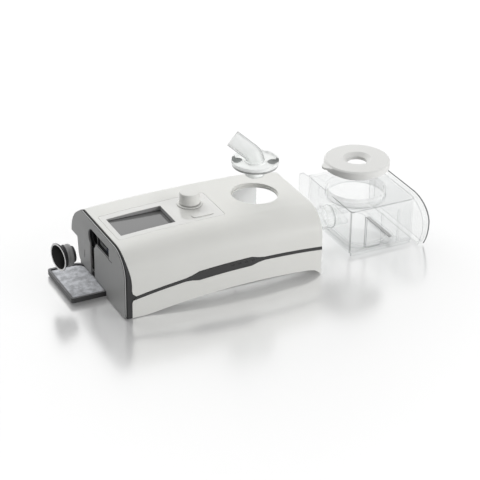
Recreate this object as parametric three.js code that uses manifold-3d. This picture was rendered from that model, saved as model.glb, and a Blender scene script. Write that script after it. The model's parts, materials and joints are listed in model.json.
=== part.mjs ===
// CPAP machine with an integrated humidifier, laid out as it is shown when it is taken apart for cleaning.
// Millimetres, +Z up. X runs along the machine from the dark side panel to the water tank, Y to the rear.
// Every piece is modelled where it sits in the assembled machine, and the loose groups are then drawn out.

import * as THREE from 'three';
import { mergeVertices } from 'three/addons/utils/BufferGeometryUtils.js';
import Module from 'manifold-3d';

const wasm = await Module();
wasm.setup();

// Fits and cutting
const fit = 0.3; // gap left between pieces that touch
const slack = 1.2; // running clearance of the pieces that slide
const overrun = 6; // how far a cutting solid runs past the piece

// Sides and steps of the curved pieces
const sidesLarge = 36;
const sidesMedium = 22;
const sidesSmall = 12;
const cornerSteps = 4;
const housingSteps = 10;
const rollSteps = 8;
const fallSteps = 6;
const archSteps = 30;
const trimSteps = 20;
const scrollSteps = 24;
const bladeSteps = 3;
const bendSteps = 4;

// The humidifier's pieces stand round one upright line
const holeX = 211;
const holeY = 78.8;
const tankReachLeft = 38.7; // from the upright line to the tank's two ends
const tankReachRight = 55;
const tankLeft = holeX - tankReachLeft;
const bodyLength = holeX + tankReachRight;

// Housing section
const wall = 2.6;
const topHeight = 85.5; // top face at both ends
const crownRise = 4.6; // how far the top swells in the middle
const rollFoot = 53; // where the front starts to roll into the top
const rollDepth = 34;
const rearEdge = 133; // where the top starts to fall away at the rear
const rightTuck = 9;
const rightTuckLength = 40;
const rearFace = 170;
const rearFaceTuckShare = 0.3;
const rearFallShares = [0.1, 0.66]; // control point of the rear fall, from the face in and from the foot up
const rearFoot = 46; // height where the rear fall turns upright
const overhang = 40.5; // underside of the rear overhang
const lowRear = 148; // rear wall below the overhang
const sectionMiddle = 74; // front and rear cuts meet here
const notchLength = 22; // open corner at the rear of the tank bay
const notchTop = 56;

// Front strip and lower edge, two parallel arches
const stripPeak = 41.2;
const stripPeakAt = 175;
const stripFall = 16.2; // how far the arch drops at the left end
const stripThin = 4;
const stripWide = 12;
const stripWideStart = 82;
const stripWideEnd = 184;
const stripTaper = 17;
const stripDepth = 3.4;
const stripProud = 0.4;
const lowerCoverHeight = 29.3;
const footGap = 0.8; // lowest edge of the covers above the table
const cornerFootLength = 20;

// Lamps in the strip
const lampCount = 4;
const lampPitch = 9.1;
const lampLength = 3.4;
const lampHeight = 1.4;
const lampInset = 41.4; // first lamp, from the right end of the wide part
const lampFirst = stripWideEnd - lampInset;
const lampRise = 1.6;
const lampBack = 2.2;

// Dark trim between side panel and shell
const panelThickness = 2.4;
const trimTopWidth = 1.5;
const trimFrontWidth = 6.6;
const trimRingDepth = 4.2;
const trimFlareTop = 84;
const trimFlareFoot = 44;
const trimKnot = 6; // extra width where the trim runs into the strip
const trimKnotSpread = 3.4;

// Side panel and its openings
const panelCorner = 5;
const panelHeel = 14;
const panelMargin = 0.5;
const portY = 100.5;
const portDrop = 23.5; // below the top face
const portZ = topHeight - portDrop;
const portRadius = 11.8;
const cardFront = 48;
const cardRear = 101;
const cardDrop = 11.8;
const cardTall = 14.2;
const cardHigh = topHeight - cardDrop;
const cardLow = cardHigh - cardTall;
const cardCorner = 0.5;
const grooveLength = 9; // runs on from the card slot's lower corner
const grooveWidth = 0.9;
const channelFront = 95;
const channelRear = 107;
const slitY = 126.5;
const slitWidth = 1.6;
const slitLow = 23;
const slitHigh = 33.5;

// Black moulding behind the panel
const portBlockDepth = 11;
const portBlockMargin = 2.4;
const portBoreRadius = 8.4;

// Display, overlay, knob and button
const overlayLeft = 11;
const overlayRight = 152;
const overlayFront = 41;
const overlayRear = 107;
const overlayCorner = 3.5;
const overlayThickness = 0.9;
const screenLeft = 17.5;
const screenRight = 89.5;
const screenFront = 50;
const screenRear = 96.5;
const screenDrop = 1.9; // screen glass below the top face
const bezelWall = 1.3;
const lensThickness = 1.4;
const lensLap = 2.2;
const lensTop = topHeight - screenDrop;
const moduleTop = lensTop - lensThickness - fit;
const moduleThickness = 5;
const boardThickness = 1.6;
const controlBoardTop = moduleTop - moduleThickness - fit;
const controlBoardInset = 3;
const boardPostRadius = 2.6;
const boardPostInset = 5;
const knobX = 124.3;
const knobY = 85.2;
const knobRadius = 13.2;
const knobHeight = 17;
const knobWall = 1.8;
const skirtRadius = 16;
const skirtHeight = 1.2;
const shaftRadius = 3;
const shaftCap = 12;
const knobPress = 0.7;
const encoderSize = 12;
const encoderHeight = 5;
const buttonX = 126.5;
const buttonY = 52.6;
const buttonLength = 29;
const buttonWidth = 9.6;
const buttonTravel = 0.8;
const buttonProud = 1.1;
const switchSize = 6;
const switchHeight = 3.4;
const switchBodyHeight = 2.4;

// Well for the elbow in the top
const holeRadius = 30;
const wellDepth = 4;
const ledgeWidth = 1;

// Tank
const tankFront = 21;
const tankRear = 136.6;
const tankFloor = 4.7;
const tankDrop = 21; // its top below the top face of the housing
const tankTop = topHeight - tankDrop;
const tankWall = 2;
const tankCorner = 6;
const tankRight = bodyLength;
const finReach = 13.2;
const finTop = tankTop + tankCorner;
const collarRadius = 39.4;
const collarWall = 2.9;
const collarRise = 2.5;
const collarDrop = 10.5;
const collarTop = tankTop + collarRise;
const collarFoot = tankTop - collarDrop;
const ribSpacing = 24;
const ribWidth = 1.6;
const ribReach = 3;
const runnerWidth = 3;
const runnerInset = 2;
const runnerClear = 1.2;
const ridgeLeft = 4.4; // low ridge round the tank's floor, from the outer faces
const ridgeSide = 3.2;
const ridgeBeyond = 5; // past the plate's right edge
const ridgeCorner = 20;
const ridgeWidth = 1.4;
const ridgeHeight = 1.2;
const latchFront = 95.6; // catch on the left wall
const latchRear = 105;
const latchProud = 1.5;
const latchTall = 12;
const plateLap = 2.4;
const plateThickness = 0.9;
const gripFront = 35;
const gripRear = 94;
const gripWidth = 4.6;
const gripHeight = 1.8;

// Air inlet of the tank
const inletY = holeY;
const inletZ = 32;
const inletRadius = 16.5;
const inletTubeReach = 9;
const inletInside = 22;
const inletSlant = 35; // degrees
const inletSlantFoot = 15.4;

// End plate of the tank
const endPlateDepth = 10;
const endRoll = 41.5;
const endBelly = 36;
const endRollRise = tankTop - endBelly;
const endRollStart = 172; // degrees
const endTuck = 10;
const endRearCorner = 10;
const endLow = 2.6;

// Lid
const lidLap = 2.9; // lid past the collar
const lidRadius = collarRadius + lidLap;
const lidHeight = 10;
const lidWellRadius = 17.6;
const lidBoreRadius = 12.9;
const lidWellDepth = 3.7;
const lidBoreDepth = 4.3;
const lidEdge = 0.8; // roundings of the lid's rim
const lidShoulder = 2;
const lidRoof = 3.2; // roof and plug walls, from the top down
const lidTabReach = 8;
const lidTabWidth = 24;
const lidTabThickness = 2.6;
const lidTabDrop = 1.8;
const lidTabArc = 70; // degrees
const lidPlugRadius = collarRadius - collarWall - slack / 2;
const lidPlugDepth = 4;
const lidDome = 0.8;

// Air connector of 22 mm outside diameter, as on every breathing hose
const hoseRadius = 11;
const hoseWall = 1.8;
const elbowLean = 56; // degrees between the outlet tube and the upright
const elbowSwivel = 40; // degrees the outlet is turned towards the rear
const elbowReach = 35; // along the outlet from the corner of the two centre lines
const elbowBend = 6; // corner above the flange's rim
const spigotDepth = 14.6;
const flangeDish = 2.2;
const flangeSkin = 1.6;
const flangeRim = 6.8;
const bossWall = 1.7;
const bossHeight = 2.4;
const fingerRadius = 8.2;
const fingerDepth = 5.9;
const fingerWall = 1.2;
const fingerReach = 22.6;
const fingerAngle = -30; // degrees
const swivelLip = 1;

// Rubber hose connector
const mouthRadius = 17.8;
const mouthLip = 2.5;
const lipThickness = 1.2;
const neckRadius = 12.8;
const plugRadius = 11;
const plugTaper = 1;
const rubberWall = 1.6;
const mouthDepth = 6.6;
const neckLength = 9.6;
const plugLength = 3.8;
const ribCount = 2;
const ribProud = 1.1;
const mouthSlant = 10; // degrees

// How far the loose groups stand from their seats
const tankTravel = 146.4;
const lidLift = 32.5;
const elbowLift = 46.8;
const connectorOut = 31.2;
const connectorForward = 8.5;
const connectorDown = 10.5;

// Filter tray
const trayFront = 60;
const trayRear = 142;
const trayLow = 2.4;
const trayHigh = 8.9;
const trayLength = 50;
const trayHeld = 5.7; // still in the slot when it is drawn out
const trayTravel = trayLength - trayHeld;
const trayWall = 3;
const trayCorner = 16;
const padDrop = 1.2;
const trayBarCount = 4;
const trayBarWidth = 2;
const trayFloorHeight = 1.6;

// Base, its feet and its screws
const floorLow = 1.2;
const floorHigh = 3.8;
const baseFront = 17.5;
const tubWall = 2;
const baseLeft = panelThickness + fit + tubWall * 2;
const baseRight = bodyLength - wall;
const pocketRoof = trayHigh + fit * 2;
const ventCount = 5;
const ventWidth = 7;
const railWidth = 2.4;
const footRadius = 6.5;
const footSeat = 1;
const footThickness = 2;
const footInset = 9.75;
const footAside = 40; // from the middle of the tank bay
const screwHead = 3;
const screwSink = 1.2;
const screwInset = 12;

// Bay for the tank, with its air port and heater plate
const bayLeft = tankLeft - finReach - slack;
const bayFront = tankFront - slack;
const bayRear = tankRear + slack;
const bayPortReach = finReach - inletTubeReach - fit * 2;
const linerDrop = 10; // top of the bay's liner below the top face
const heaterInset = 12.7;
const heaterLength = 58;
const heaterWidth = 87.6;
const heaterCorner = 20;
const heaterDepth = 1.5;
const gripLap = 4.2; // dark strip over the edge of the plate
const gripLeft = tankLeft + heaterInset + heaterLength - gripLap;

// Blower, duct and muffler
const scrollWall = 2;
const scrollHeight = 32.4;
const scrollSplit = 16.2;
const scrollStartShare = 0.76; // of the radius that the scroll ends with
const scrollStep = 3; // degrees that the inner step stands back by, which leaves its wall
const blowerX = 72;
const blowerY = 50.8;
const blowerRadius = 40;
const blowerFoot = inletZ - scrollHeight / 2;
const blowerEye = 15;
const neckOuter = inletRadius - hoseWall;
const neckReach = 8;
const bladeCount = 9;
const impellerRadius = 27;
const bladeSweep = 21.6;
const bladeArc = 62; // degrees
const bladeThickness = 1.2;
const bladeHeight = 9;
const motorRadius = 16;
const motorHeight = 11;
const mountRadius = 4.5;
const mountWaist = 3.2;
const mountRing = 30;
const mountCount = 3;
const mountHeight = 4;
const ductReach = 12;
const bellowsShares = [0.4, 0.6];
const bellowsHalfShare = 0.06;
const foamLeft = 116;
const foamGap = 5.9; // from the foam to the bay's liner
const foamRight = bayLeft - tubWall - foamGap;
const foamFront = 22;
const foamRear = 58;

// Main board and power inlet
const mainBoardDrop = 25.5; // below the top face
const mainBoardLow = topHeight - mainBoardDrop;
const mainBoardFront = 116;
const mainBoardRear = 146;
const mainBoardLeft = 16;
const mainBoardRight = 148;
const mainPartShares = [0.12, 0.34, 0.56, 0.8]; // places along the board
const mainPartSize = 8;
const mainPartSmall = 5;
const mainPostRadius = 3;
const mainPostInset = 5;
const inletLeft = 34;
const inletWide = 24;
const inletLow = 12;
const inletTall = 18;
const inletDeep = 16;

// Colours as the eye sees them
const materials = {
  shellWhite: new THREE.MeshStandardMaterial({ color: 0xdcdcd8, roughness: 0.38 }),
  panelGrey: new THREE.MeshStandardMaterial({ color: 0x85868a, roughness: 0.5 }),
  trimGrey: new THREE.MeshStandardMaterial({ color: 0x46474b, roughness: 0.42 }),
  stripGrey: new THREE.MeshStandardMaterial({ color: 0x5a5b5d, roughness: 0.3 }),
  black: new THREE.MeshStandardMaterial({ color: 0x161719, roughness: 0.5 }),
  socketBlue: new THREE.MeshStandardMaterial({ color: 0x1b2942, roughness: 0.45 }),
  linerGrey: new THREE.MeshStandardMaterial({ color: 0xc9cbcc, roughness: 0.5 }),
  clear: new THREE.MeshStandardMaterial({ color: 0xe6ecec, roughness: 0.06, transparent: true, opacity: 0.35 }),
  glass: new THREE.MeshStandardMaterial({ color: 0x8f9293, roughness: 0.12 }),
  rubber: new THREE.MeshStandardMaterial({ color: 0x4c4d4f, roughness: 0.8 }),
  filterFelt: new THREE.MeshStandardMaterial({ color: 0xb2b4b8, roughness: 0.95 }),
  foam: new THREE.MeshStandardMaterial({ color: 0x38393b, roughness: 1 }),
  board: new THREE.MeshStandardMaterial({ color: 0x1f5a38, roughness: 0.55 }),
  steel: new THREE.MeshStandardMaterial({ color: 0xb8bbbd, roughness: 0.3, metalness: 0.9 }),
  aluminium: new THREE.MeshStandardMaterial({ color: 0xc6c8ca, roughness: 0.35, metalness: 0.9 }),
  lamp: new THREE.MeshStandardMaterial({ color: 0x262626, roughness: 0.25 }),
};

// Solids from geometries, and back

function signedVolume(positions, index) {
  const a = new THREE.Vector3();
  const b = new THREE.Vector3();
  const c = new THREE.Vector3();
  let volume = 0;
  for (let i = 0; i < index.length; i += 3) {
    a.fromArray(positions, index[i] * 3);
    b.fromArray(positions, index[i + 1] * 3);
    c.fromArray(positions, index[i + 2] * 3);
    volume += a.dot(b.cross(c));
  }
  return volume;
}

function solidOf(geometry) {
  const bare = geometry.clone();
  bare.deleteAttribute('normal');
  bare.deleteAttribute('uv');
  const merged = mergeVertices(bare);
  const vertProperties = Float32Array.from(merged.attributes.position.array);
  const triVerts = Uint32Array.from(merged.index.array);
  if (signedVolume(vertProperties, triVerts) < 0) triVerts.reverse();
  return new wasm.Manifold(new wasm.Mesh({ numProp: 3, vertProperties, triVerts }));
}

function geometryOf(solid) {
  const mesh = solid.getMesh();
  const geometry = new THREE.BufferGeometry();
  geometry.setAttribute('position', new THREE.BufferAttribute(Float32Array.from(mesh.vertProperties), 3));
  geometry.setIndex(new THREE.BufferAttribute(Uint32Array.from(mesh.triVerts), 1));
  const faceted = geometry.toNonIndexed();
  faceted.computeVertexNormals();
  return faceted;
}

function piece(name, solid, material) {
  const mesh = new THREE.Mesh(geometryOf(solid), material);
  mesh.name = name;
  return mesh;
}

function joined(...solids) {
  return solids.reduce((sum, next) => sum.add(next));
}

function cutBy(solid, ...tools) {
  return tools.reduce((rest, tool) => rest.subtract(tool), solid);
}

// Outlines are lists of two-number points, in the two axes that the prism names

function points(list) {
  return list.map(([s, t]) => new THREE.Vector2(s, t));
}

function prism(outline, length, right, up, along, start) {
  const shape = new THREE.Shape(points(outline));
  const geometry = new THREE.ExtrudeGeometry(shape, { depth: length, bevelEnabled: false });
  geometry.applyMatrix4(new THREE.Matrix4().makeBasis(right, up, along));
  geometry.translate(along.x * start, along.y * start, along.z * start);
  return solidOf(geometry);
}

const axisX = new THREE.Vector3(1, 0, 0);
const axisY = new THREE.Vector3(0, 1, 0);
const axisZ = new THREE.Vector3(0, 0, 1);

const prismX = (outline, x0, x1) => prism(outline, x1 - x0, axisY, axisZ, axisX, x0);
const prismY = (outline, y0, y1) => prism(outline, y1 - y0, axisX, axisZ, axisY, y0);
const prismZ = (outline, z0, z1) => prism(outline, z1 - z0, axisX, axisY, axisZ, z0);

function rectangle(s0, s1, t0, t1) {
  return [[s0, t0], [s1, t0], [s1, t1], [s0, t1]];
}

function block(x0, x1, y0, y1, z0, z1) {
  return prismZ(rectangle(x0, x1, y0, y1), z0, z1);
}

function arc(cs, ct, rs, rt, from, to, steps) {
  const list = [];
  for (let i = 0; i <= steps; i++) {
    const angle = THREE.MathUtils.degToRad(from + ((to - from) * i) / steps);
    list.push([cs + rs * Math.cos(angle), ct + rt * Math.sin(angle)]);
  }
  return list;
}

function ring(cs, ct, radius, steps) {
  return arc(cs, ct, radius, radius, 0, 360, steps).slice(1);
}

function roundedRectangle(s0, s1, t0, t1, radius, steps = cornerSteps) {
  return [
    ...arc(s0 + radius, t0 + radius, radius, radius, 180, 270, steps),
    ...arc(s1 - radius, t0 + radius, radius, radius, 270, 360, steps),
    ...arc(s1 - radius, t1 - radius, radius, radius, 0, 90, steps),
    ...arc(s0 + radius, t1 - radius, radius, radius, 90, 180, steps),
  ];
}

function bezier(from, control, to, steps) {
  const curve = new THREE.QuadraticBezierCurve(...points([from, control, to]));
  return curve.getPoints(steps).map((point) => [point.x, point.y]);
}

// A turned solid from a closed profile of radius and height
function turned(profile, segments) {
  const loop = [...profile, profile[0]];
  const geometry = new THREE.LatheGeometry(points(loop), segments);
  geometry.rotateX(Math.PI / 2);
  return solidOf(geometry);
}

function tube(inner, outer, z0, z1, segments) {
  return turned([[inner, z0], [outer, z0], [outer, z1], [inner, z1]], segments);
}

function rod(radius, z0, z1, segments) {
  return prismZ(ring(0, 0, radius, segments), z0, z1);
}

// A solid skinned over rings of equal count, with its two ends closed flat
function skinned(rings, capOutline) {
  const count = rings[0].length;
  const positions = rings.flat(2);
  const index = [];
  for (let i = 0; i + 1 < rings.length; i++) {
    for (let j = 0; j < count; j++) {
      const a = i * count + j;
      const b = i * count + ((j + 1) % count);
      index.push(a, b, b + count, a, b + count, a + count);
    }
  }
  const last = (rings.length - 1) * count;
  THREE.ShapeUtils.triangulateShape(points(capOutline), []).forEach(([a, b, c]) => {
    index.push(a, c, b, last + a, last + b, last + c);
  });
  const geometry = new THREE.BufferGeometry();
  geometry.setAttribute('position', new THREE.Float32BufferAttribute(positions, 3));
  geometry.setIndex(index);
  return solidOf(geometry);
}

// A solid whose section changes along X
function loftX(stations, outlineAt) {
  const outlines = stations.map(outlineAt).map((outline) => {
    return THREE.ShapeUtils.isClockWise(points(outline)) ? outline.reverse() : outline;
  });
  const rings = outlines.map((outline, i) => outline.map(([y, z]) => [stations[i], y, z]));
  return skinned(rings, outlines[0]);
}

// A round bar that starts upright, bends towards -X and runs straight on
function bentRod(radius, low, bend, reach, lean, bendRadius, sides) {
  const centres = [[0, low, 0]];
  for (let i = 0; i <= bendSteps; i++) {
    const turn = (lean * i) / bendSteps;
    centres.push([bendRadius * (Math.cos(turn) - 1), bend + bendRadius * Math.sin(turn), turn]);
  }
  const [x, z] = centres.at(-1);
  centres.push([x - reach * Math.sin(lean), z + reach * Math.cos(lean), lean]);
  const outline = ring(0, 0, radius, sides);
  const rings = centres.map(([cx, cz, turn]) => outline.map(([s, t]) => {
    return [cx + s * Math.cos(turn), t, cz + s * Math.sin(turn)];
  }));
  return skinned(rings, outline);
}

function spread(from, to, count) {
  return Array.from({ length: count + 1 }, (_, i) => from + ((to - from) * i) / count);
}

// Housing form

function topAt(x) {
  const along = THREE.MathUtils.clamp(x / bodyLength, 0, 1);
  return topHeight + crownRise * 4 * along * (1 - along);
}

function tuckAt(x) {
  const into = THREE.MathUtils.clamp((x - bodyLength + rightTuckLength) / rightTuckLength, 0, 1);
  return rightTuck * into ** 2;
}

function sectionAt(x, inset, low) {
  const top = topAt(x) - inset;
  const edge = rearEdge - tuckAt(x) - inset / 2;
  const rear = rearFace - tuckAt(x) * rearFaceTuckShare - inset;
  const [backShare, upShare] = rearFallShares;
  const fallControl = [rear - (rear - edge) * backShare, rearFoot + (top - rearFoot) * upShare];
  return [
    [inset, low],
    ...arc(rollDepth, rollFoot, rollDepth - inset, top - rollFoot, 180, 90, rollSteps),
    ...bezier([edge, top], fallControl, [rear, rearFoot], fallSteps),
    [rear, overhang + inset],
    [lowRear - inset, overhang + inset],
    [lowRear - inset, low],
  ];
}

function housingSolid(inset, from, to, low) {
  const outside = spread(0, bodyLength, housingSteps).filter((x) => x > from && x < to);
  return loftX([from, ...outside, to], (x) => sectionAt(x, inset, low));
}

function stripLine(x) {
  return stripPeak - stripFall * ((x - stripPeakAt) / stripPeakAt) ** 2;
}

function stripHalf(x) {
  const rise = THREE.MathUtils.smoothstep(x, stripWideStart, stripWideStart + stripTaper);
  const fall = THREE.MathUtils.smoothstep(x, stripWideEnd - stripTaper, stripWideEnd);
  return (stripThin + (stripWide - stripThin) * (rise - fall)) / 2;
}

function lowerEdge(x) {
  const arch = Math.max(stripLine(x) - lowerCoverHeight, footGap);
  const into = THREE.MathUtils.clamp((x - bodyLength + cornerFootLength) / cornerFootLength, 0, 1);
  return footGap + (arch - footGap) * Math.sqrt(1 - into ** 2);
}

// Right-hand edge of the dark trim, wider towards the foot and knotted into the strip
function trimEdge(z) {
  const flare = 1 - THREE.MathUtils.smoothstep(z, trimFlareFoot, trimFlareTop);
  const knot = Math.exp(-(((z - stripLine(0) - stripThin) / trimKnotSpread) ** 2));
  return panelThickness + fit + trimTopWidth + (trimFrontWidth - trimTopWidth) * flare + trimKnot * knot;
}

const archStations = spread(0, bodyLength, archSteps);
const longStations = [-overrun, ...archStations, bodyLength + overrun];
const trimHeights = [
  -overrun,
  ...spread(0, trimFlareTop, trimSteps),
  topHeight + crownRise + overrun,
];

// Everything in front of the section's middle that lies above a line along the machine
function aboveLine(line) {
  const outline = longStations.map((x) => [x, line(x)]);
  outline.push([bodyLength + overrun, topHeight * 2], [-overrun, topHeight * 2]);
  return prismY(outline, -overrun, sectionMiddle);
}

// Everything left of the trim's edge, with an allowance
function leftOfTrim(allowance) {
  const outline = trimHeights.map((z) => [trimEdge(z) + allowance, z]).reverse();
  outline.push([-overrun, -overrun], [-overrun, topHeight + crownRise + overrun]);
  const flat = panelThickness + fit + trimTopWidth + allowance;
  const behind = block(-overrun, flat, sectionMiddle, rearFace * 2, -overrun, topHeight * 2);
  return joined(prismY(outline, -overrun, sectionMiddle), behind);
}

function shellSolid() {
  const inside = housingSolid(wall, -overrun, bodyLength + overrun, -overrun);
  return housingSolid(0, 0, bodyLength, 0).subtract(inside);
}

// Post that hangs from the ceiling of the shell, with its foot at a height
function hangingPost(x, y, radius, foot) {
  return rod(radius, foot, topAt(x) - wall / 2, sidesSmall).translate([x, y, 0]);
}


function overlayOutline(allowance) {
  return roundedRectangle(
    overlayLeft - allowance,
    overlayRight + allowance,
    overlayFront - allowance,
    overlayRear + allowance,
    overlayCorner + allowance,
  );
}

function obround(cx, cy, length, width, steps) {
  const radius = width / 2;
  const reach = length / 2 - radius;
  return [
    ...arc(cx + reach, cy, radius, radius, -90, 90, steps),
    ...arc(cx - reach, cy, radius, radius, 90, 270, steps),
  ];
}

function screenOutline(allowance) {
  return rectangle(
    screenLeft - allowance, screenRight + allowance, screenFront - allowance, screenRear + allowance,
  );
}

// Grey frame between the overlay and the lens
function displayBezel() {
  const under = housingSolid(overlayThickness + fit, screenLeft - overrun, screenRight + overrun, -overrun);
  return prismZ(screenOutline(bezelWall), lensTop + fit, topHeight * 2)
    .subtract(prismZ(screenOutline(0), lensTop - overrun, topHeight * 2))
    .intersect(under);
}

// Openings for screen, button and dial, which the overlay has tight and the housing under it wider
function controlHoles(allowance, screenAllowance) {
  const low = moduleTop;
  const high = topHeight * 2;
  const button = obround(
    buttonX, buttonY, buttonLength + 2 * allowance, buttonWidth + 2 * allowance, rollSteps,
  );
  const shaft = ring(knobX, knobY, shaftRadius + slack + allowance, sidesSmall);
  return joined(
    prismZ(screenOutline(screenAllowance), low, high),
    prismZ(button, low, high),
    prismZ(shaft, low, high),
  );
}

function boardPosts() {
  const xs = [overlayLeft + boardPostInset, overlayRight - boardPostInset];
  const ys = [overlayFront + boardPostInset / 2, overlayRear - boardPostInset / 2];
  return xs.flatMap((x) => ys.map((y) => [x, y]));
}

// Open corner at the rear of the tank bay
function rearNotch() {
  return block(
    bodyLength - notchLength, bodyLength + overrun,
    bayRear + tubWall + fit, rearFace + overrun, floorHigh, notchTop,
  );
}

function topHousing() {
  const above = aboveLine((x) => stripLine(x) + stripHalf(x) + fit);
  const behind = block(
    -overrun, bodyLength + overrun, sectionMiddle, rearFace * 2, overhang, topHeight * 2,
  );
  const ledgeLow = topAt(holeX) - wellDepth - wall;
  const well = tube(
    holeRadius - ledgeWidth, holeRadius + wall, ledgeLow, topAt(holeX) - wall / 2, sidesLarge,
  );
  let shell = shellSolid().intersect(joined(above, behind));
  shell = shell.subtract(leftOfTrim(fit));
  shell = shell.add(well.translate([holeX, holeY, 0]));
  boardPosts().forEach(([x, y]) => {
    shell = shell.add(hangingPost(x, y, boardPostRadius, controlBoardTop + fit));
  });
  const bore = rod(holeRadius, topAt(holeX) - wellDepth, topHeight * 2, sidesLarge);
  const recess = housingSolid(0, -overrun, bodyLength + overrun, -overrun)
    .subtract(housingSolid(overlayThickness + fit, -overrun * 2, bodyLength + overrun * 2, -overrun * 2))
    .intersect(prismZ(overlayOutline(fit), sectionMiddle, topHeight * 2));
  return cutBy(
    shell,
    bore.translate([holeX, holeY, 0]),
    rod(holeRadius - ledgeWidth, ledgeLow - overrun, topHeight * 2, sidesLarge).translate([holeX, holeY, 0]),
    rearNotch(),
    recess,
    controlHoles(fit, bezelWall + fit),
  );
}

function controlOverlay() {
  const sheet = housingSolid(0, -overrun, bodyLength + overrun, -overrun)
    .subtract(housingSolid(overlayThickness, -overrun * 2, bodyLength + overrun * 2, -overrun * 2));
  return sheet
    .intersect(prismZ(overlayOutline(0), sectionMiddle, topHeight * 2))
    .subtract(controlHoles(0, 0));
}

function frontStrip() {
  const upper = archStations.map((x) => [x, stripLine(x) + stripHalf(x)]);
  const lower = archStations.map((x) => [x, stripLine(x) - stripHalf(x)]);
  const band = prismY([...lower, ...upper.reverse()], -stripProud, stripDepth);
  const lamps = indicatorPlaces().map((place) => indicatorCut(place, fit));
  return cutBy(band.subtract(leftOfTrim(fit)), ...lamps);
}

function indicatorPlaces() {
  return spread(lampFirst, lampFirst + lampPitch * (lampCount - 1), lampCount - 1);
}

function indicatorCut(x, allowance) {
  const height = stripLine(x) + lampRise;
  const outline = obround(x, height, lampLength + 2 * allowance, lampHeight + 2 * allowance, 3);
  return prismY(outline, -overrun, stripDepth + overrun);
}

// Four lenses on one light guide behind the strip
function indicatorLenses() {
  const from = lampFirst - lampLength;
  const to = lampFirst + lampPitch * (lampCount - 1) + lampLength;
  const guide = block(
    from, to, stripDepth + fit, stripDepth + fit + lampBack, stripPeak - lampLength, stripPeak + lampLength,
  );
  const lenses = indicatorPlaces().map((x) => {
    const outline = obround(x, stripLine(x) + lampRise, lampLength, lampHeight, 3);
    return prismY(outline, -stripProud, stripDepth + fit + lampBack / 2);
  });
  return joined(guide, ...lenses);
}

function lowerCover() {
  const upper = archStations.map((x) => [x, stripLine(x) - stripHalf(x) - fit]);
  const lower = archStations.map((x) => [x, lowerEdge(x)]);
  const face = prismY([...lower, ...[...upper].reverse()], 0, wall);
  const shelfTop = archStations.map((x) => [x, lowerEdge(x) + tubWall]);
  const shelf = prismY([...lower, ...shelfTop.reverse()], wall / 2, baseFront - fit);
  return joined(face, shelf).subtract(leftOfTrim(fit));
}

function edgeTrim() {
  const from = panelThickness + fit;
  const to = trimEdge(stripLine(0) + stripThin);
  const outer = housingSolid(0, from, to, footGap);
  const inner = housingSolid(trimRingDepth, from - overrun, to + overrun, -overrun);
  const reach = leftOfTrim(0);
  const slot = trayOpening(fit);
  return cutBy(outer.subtract(inner).intersect(reach), slot);
}

function trayOpening(allowance) {
  return block(
    -overrun,
    trayLength + overrun,
    trayFront - allowance * 2,
    trayRear + allowance * 2,
    -overrun,
    trayHigh + allowance * 2,
  );
}

function panelOutline() {
  const [, ...upper] = sectionAt(0, panelMargin, footGap);
  const shoulder = upper.slice(0, -2);
  return [
    ...arc(panelMargin + panelCorner, footGap + panelCorner, panelCorner, panelCorner, 270, 180, 4),
    ...shoulder,
    [lowRear + tubWall, overhang + panelMargin],
    ...arc(lowRear - panelHeel, trayHigh + panelHeel + fit, panelHeel, panelHeel, 0, -90, 5),
    [trayFront - slack, trayHigh + fit],
    [trayFront - slack, footGap],
  ];
}

function sidePanel() {
  const card = roundedRectangle(cardFront, cardRear, cardLow, cardHigh, cardCorner, 2);
  const groove = rectangle(
    cardFront - grooveLength, cardFront + cardCorner * 2, cardLow - grooveWidth, cardLow,
  );
  const channel = roundedRectangle(channelFront, channelRear, trayHigh - overrun, cardLow + wall, fit, 2);
  const slit = roundedRectangle(
    slitY - slitWidth / 2, slitY + slitWidth / 2, slitLow, slitHigh, slitWidth / 3, 2,
  );
  return cutBy(
    prismX(panelOutline(), 0, panelThickness),
    prismX(ring(portY, portZ, portRadius, sidesMedium), -overrun, overrun),
    prismX(card, -overrun, overrun),
    prismX(channel, -overrun, overrun),
    prismX(slit, -overrun, panelThickness / 2),
    prismX(groove, -overrun, panelThickness / 2),
  );
}

// Black moulding behind the panel: round port, card bay and the back of the finger channel
function portBlock() {
  const from = panelThickness + fit;
  const body = prismX(
    roundedRectangle(
      cardFront - portBlockMargin, portY + portRadius + portBlockMargin,
      portZ - portRadius - portBlockMargin, cardHigh + portBlockMargin / 2, portBlockMargin / 2,
    ),
    from,
    from + portBlockDepth,
  );
  const back = block(
    from + portBlockMargin, from + portBlockMargin * 2,
    channelFront - portBlockMargin, channelRear + portBlockMargin,
    pocketRoof + tubWall + fit, cardLow,
  );
  const seat = prismX(ring(portY, portZ, portRadius, sidesMedium), from - overrun, from + portBlockMargin);
  const bore = prismX(
    ring(portY, portZ, portBoreRadius, sidesMedium), from - overrun, from + portBlockDepth + overrun,
  );
  const bay = block(
    from - overrun, from + portBlockDepth - portBlockMargin,
    cardFront + portBlockMargin / 2, portY - portRadius - portBlockMargin / 2, cardLow + fit, cardHigh - fit,
  );
  const channel = block(
    from - overrun, from + portBlockMargin,
    channelFront, channelRear, trayHigh, cardLow + portBlockMargin,
  );
  return cutBy(joined(body, back), seat, bore, bay, channel);
}

function cardSocket() {
  const from = panelThickness + fit;
  const rear = portY - portRadius - portBlockMargin / 2 - fit;
  const outer = block(
    from + portBlockMargin, from + portBlockDepth - portBlockMargin - fit,
    cardFront + portBlockMargin / 2 + fit, rear, cardLow + fit * 2, cardHigh - fit * 2,
  );
  const mouth = block(
    from - overrun, from + portBlockDepth / 2,
    cardFront + portBlockMargin * 2, rear - portBlockMargin,
    cardLow + portBlockMargin * 2, cardHigh - portBlockMargin * 2,
  );
  return outer.subtract(mouth);
}

// Base, with the tray pocket, the rear wall and the two runs for the tank's runners
function runnerRows() {
  return [tankFront + runnerInset, tankRear - runnerInset - runnerWidth];
}

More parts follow.
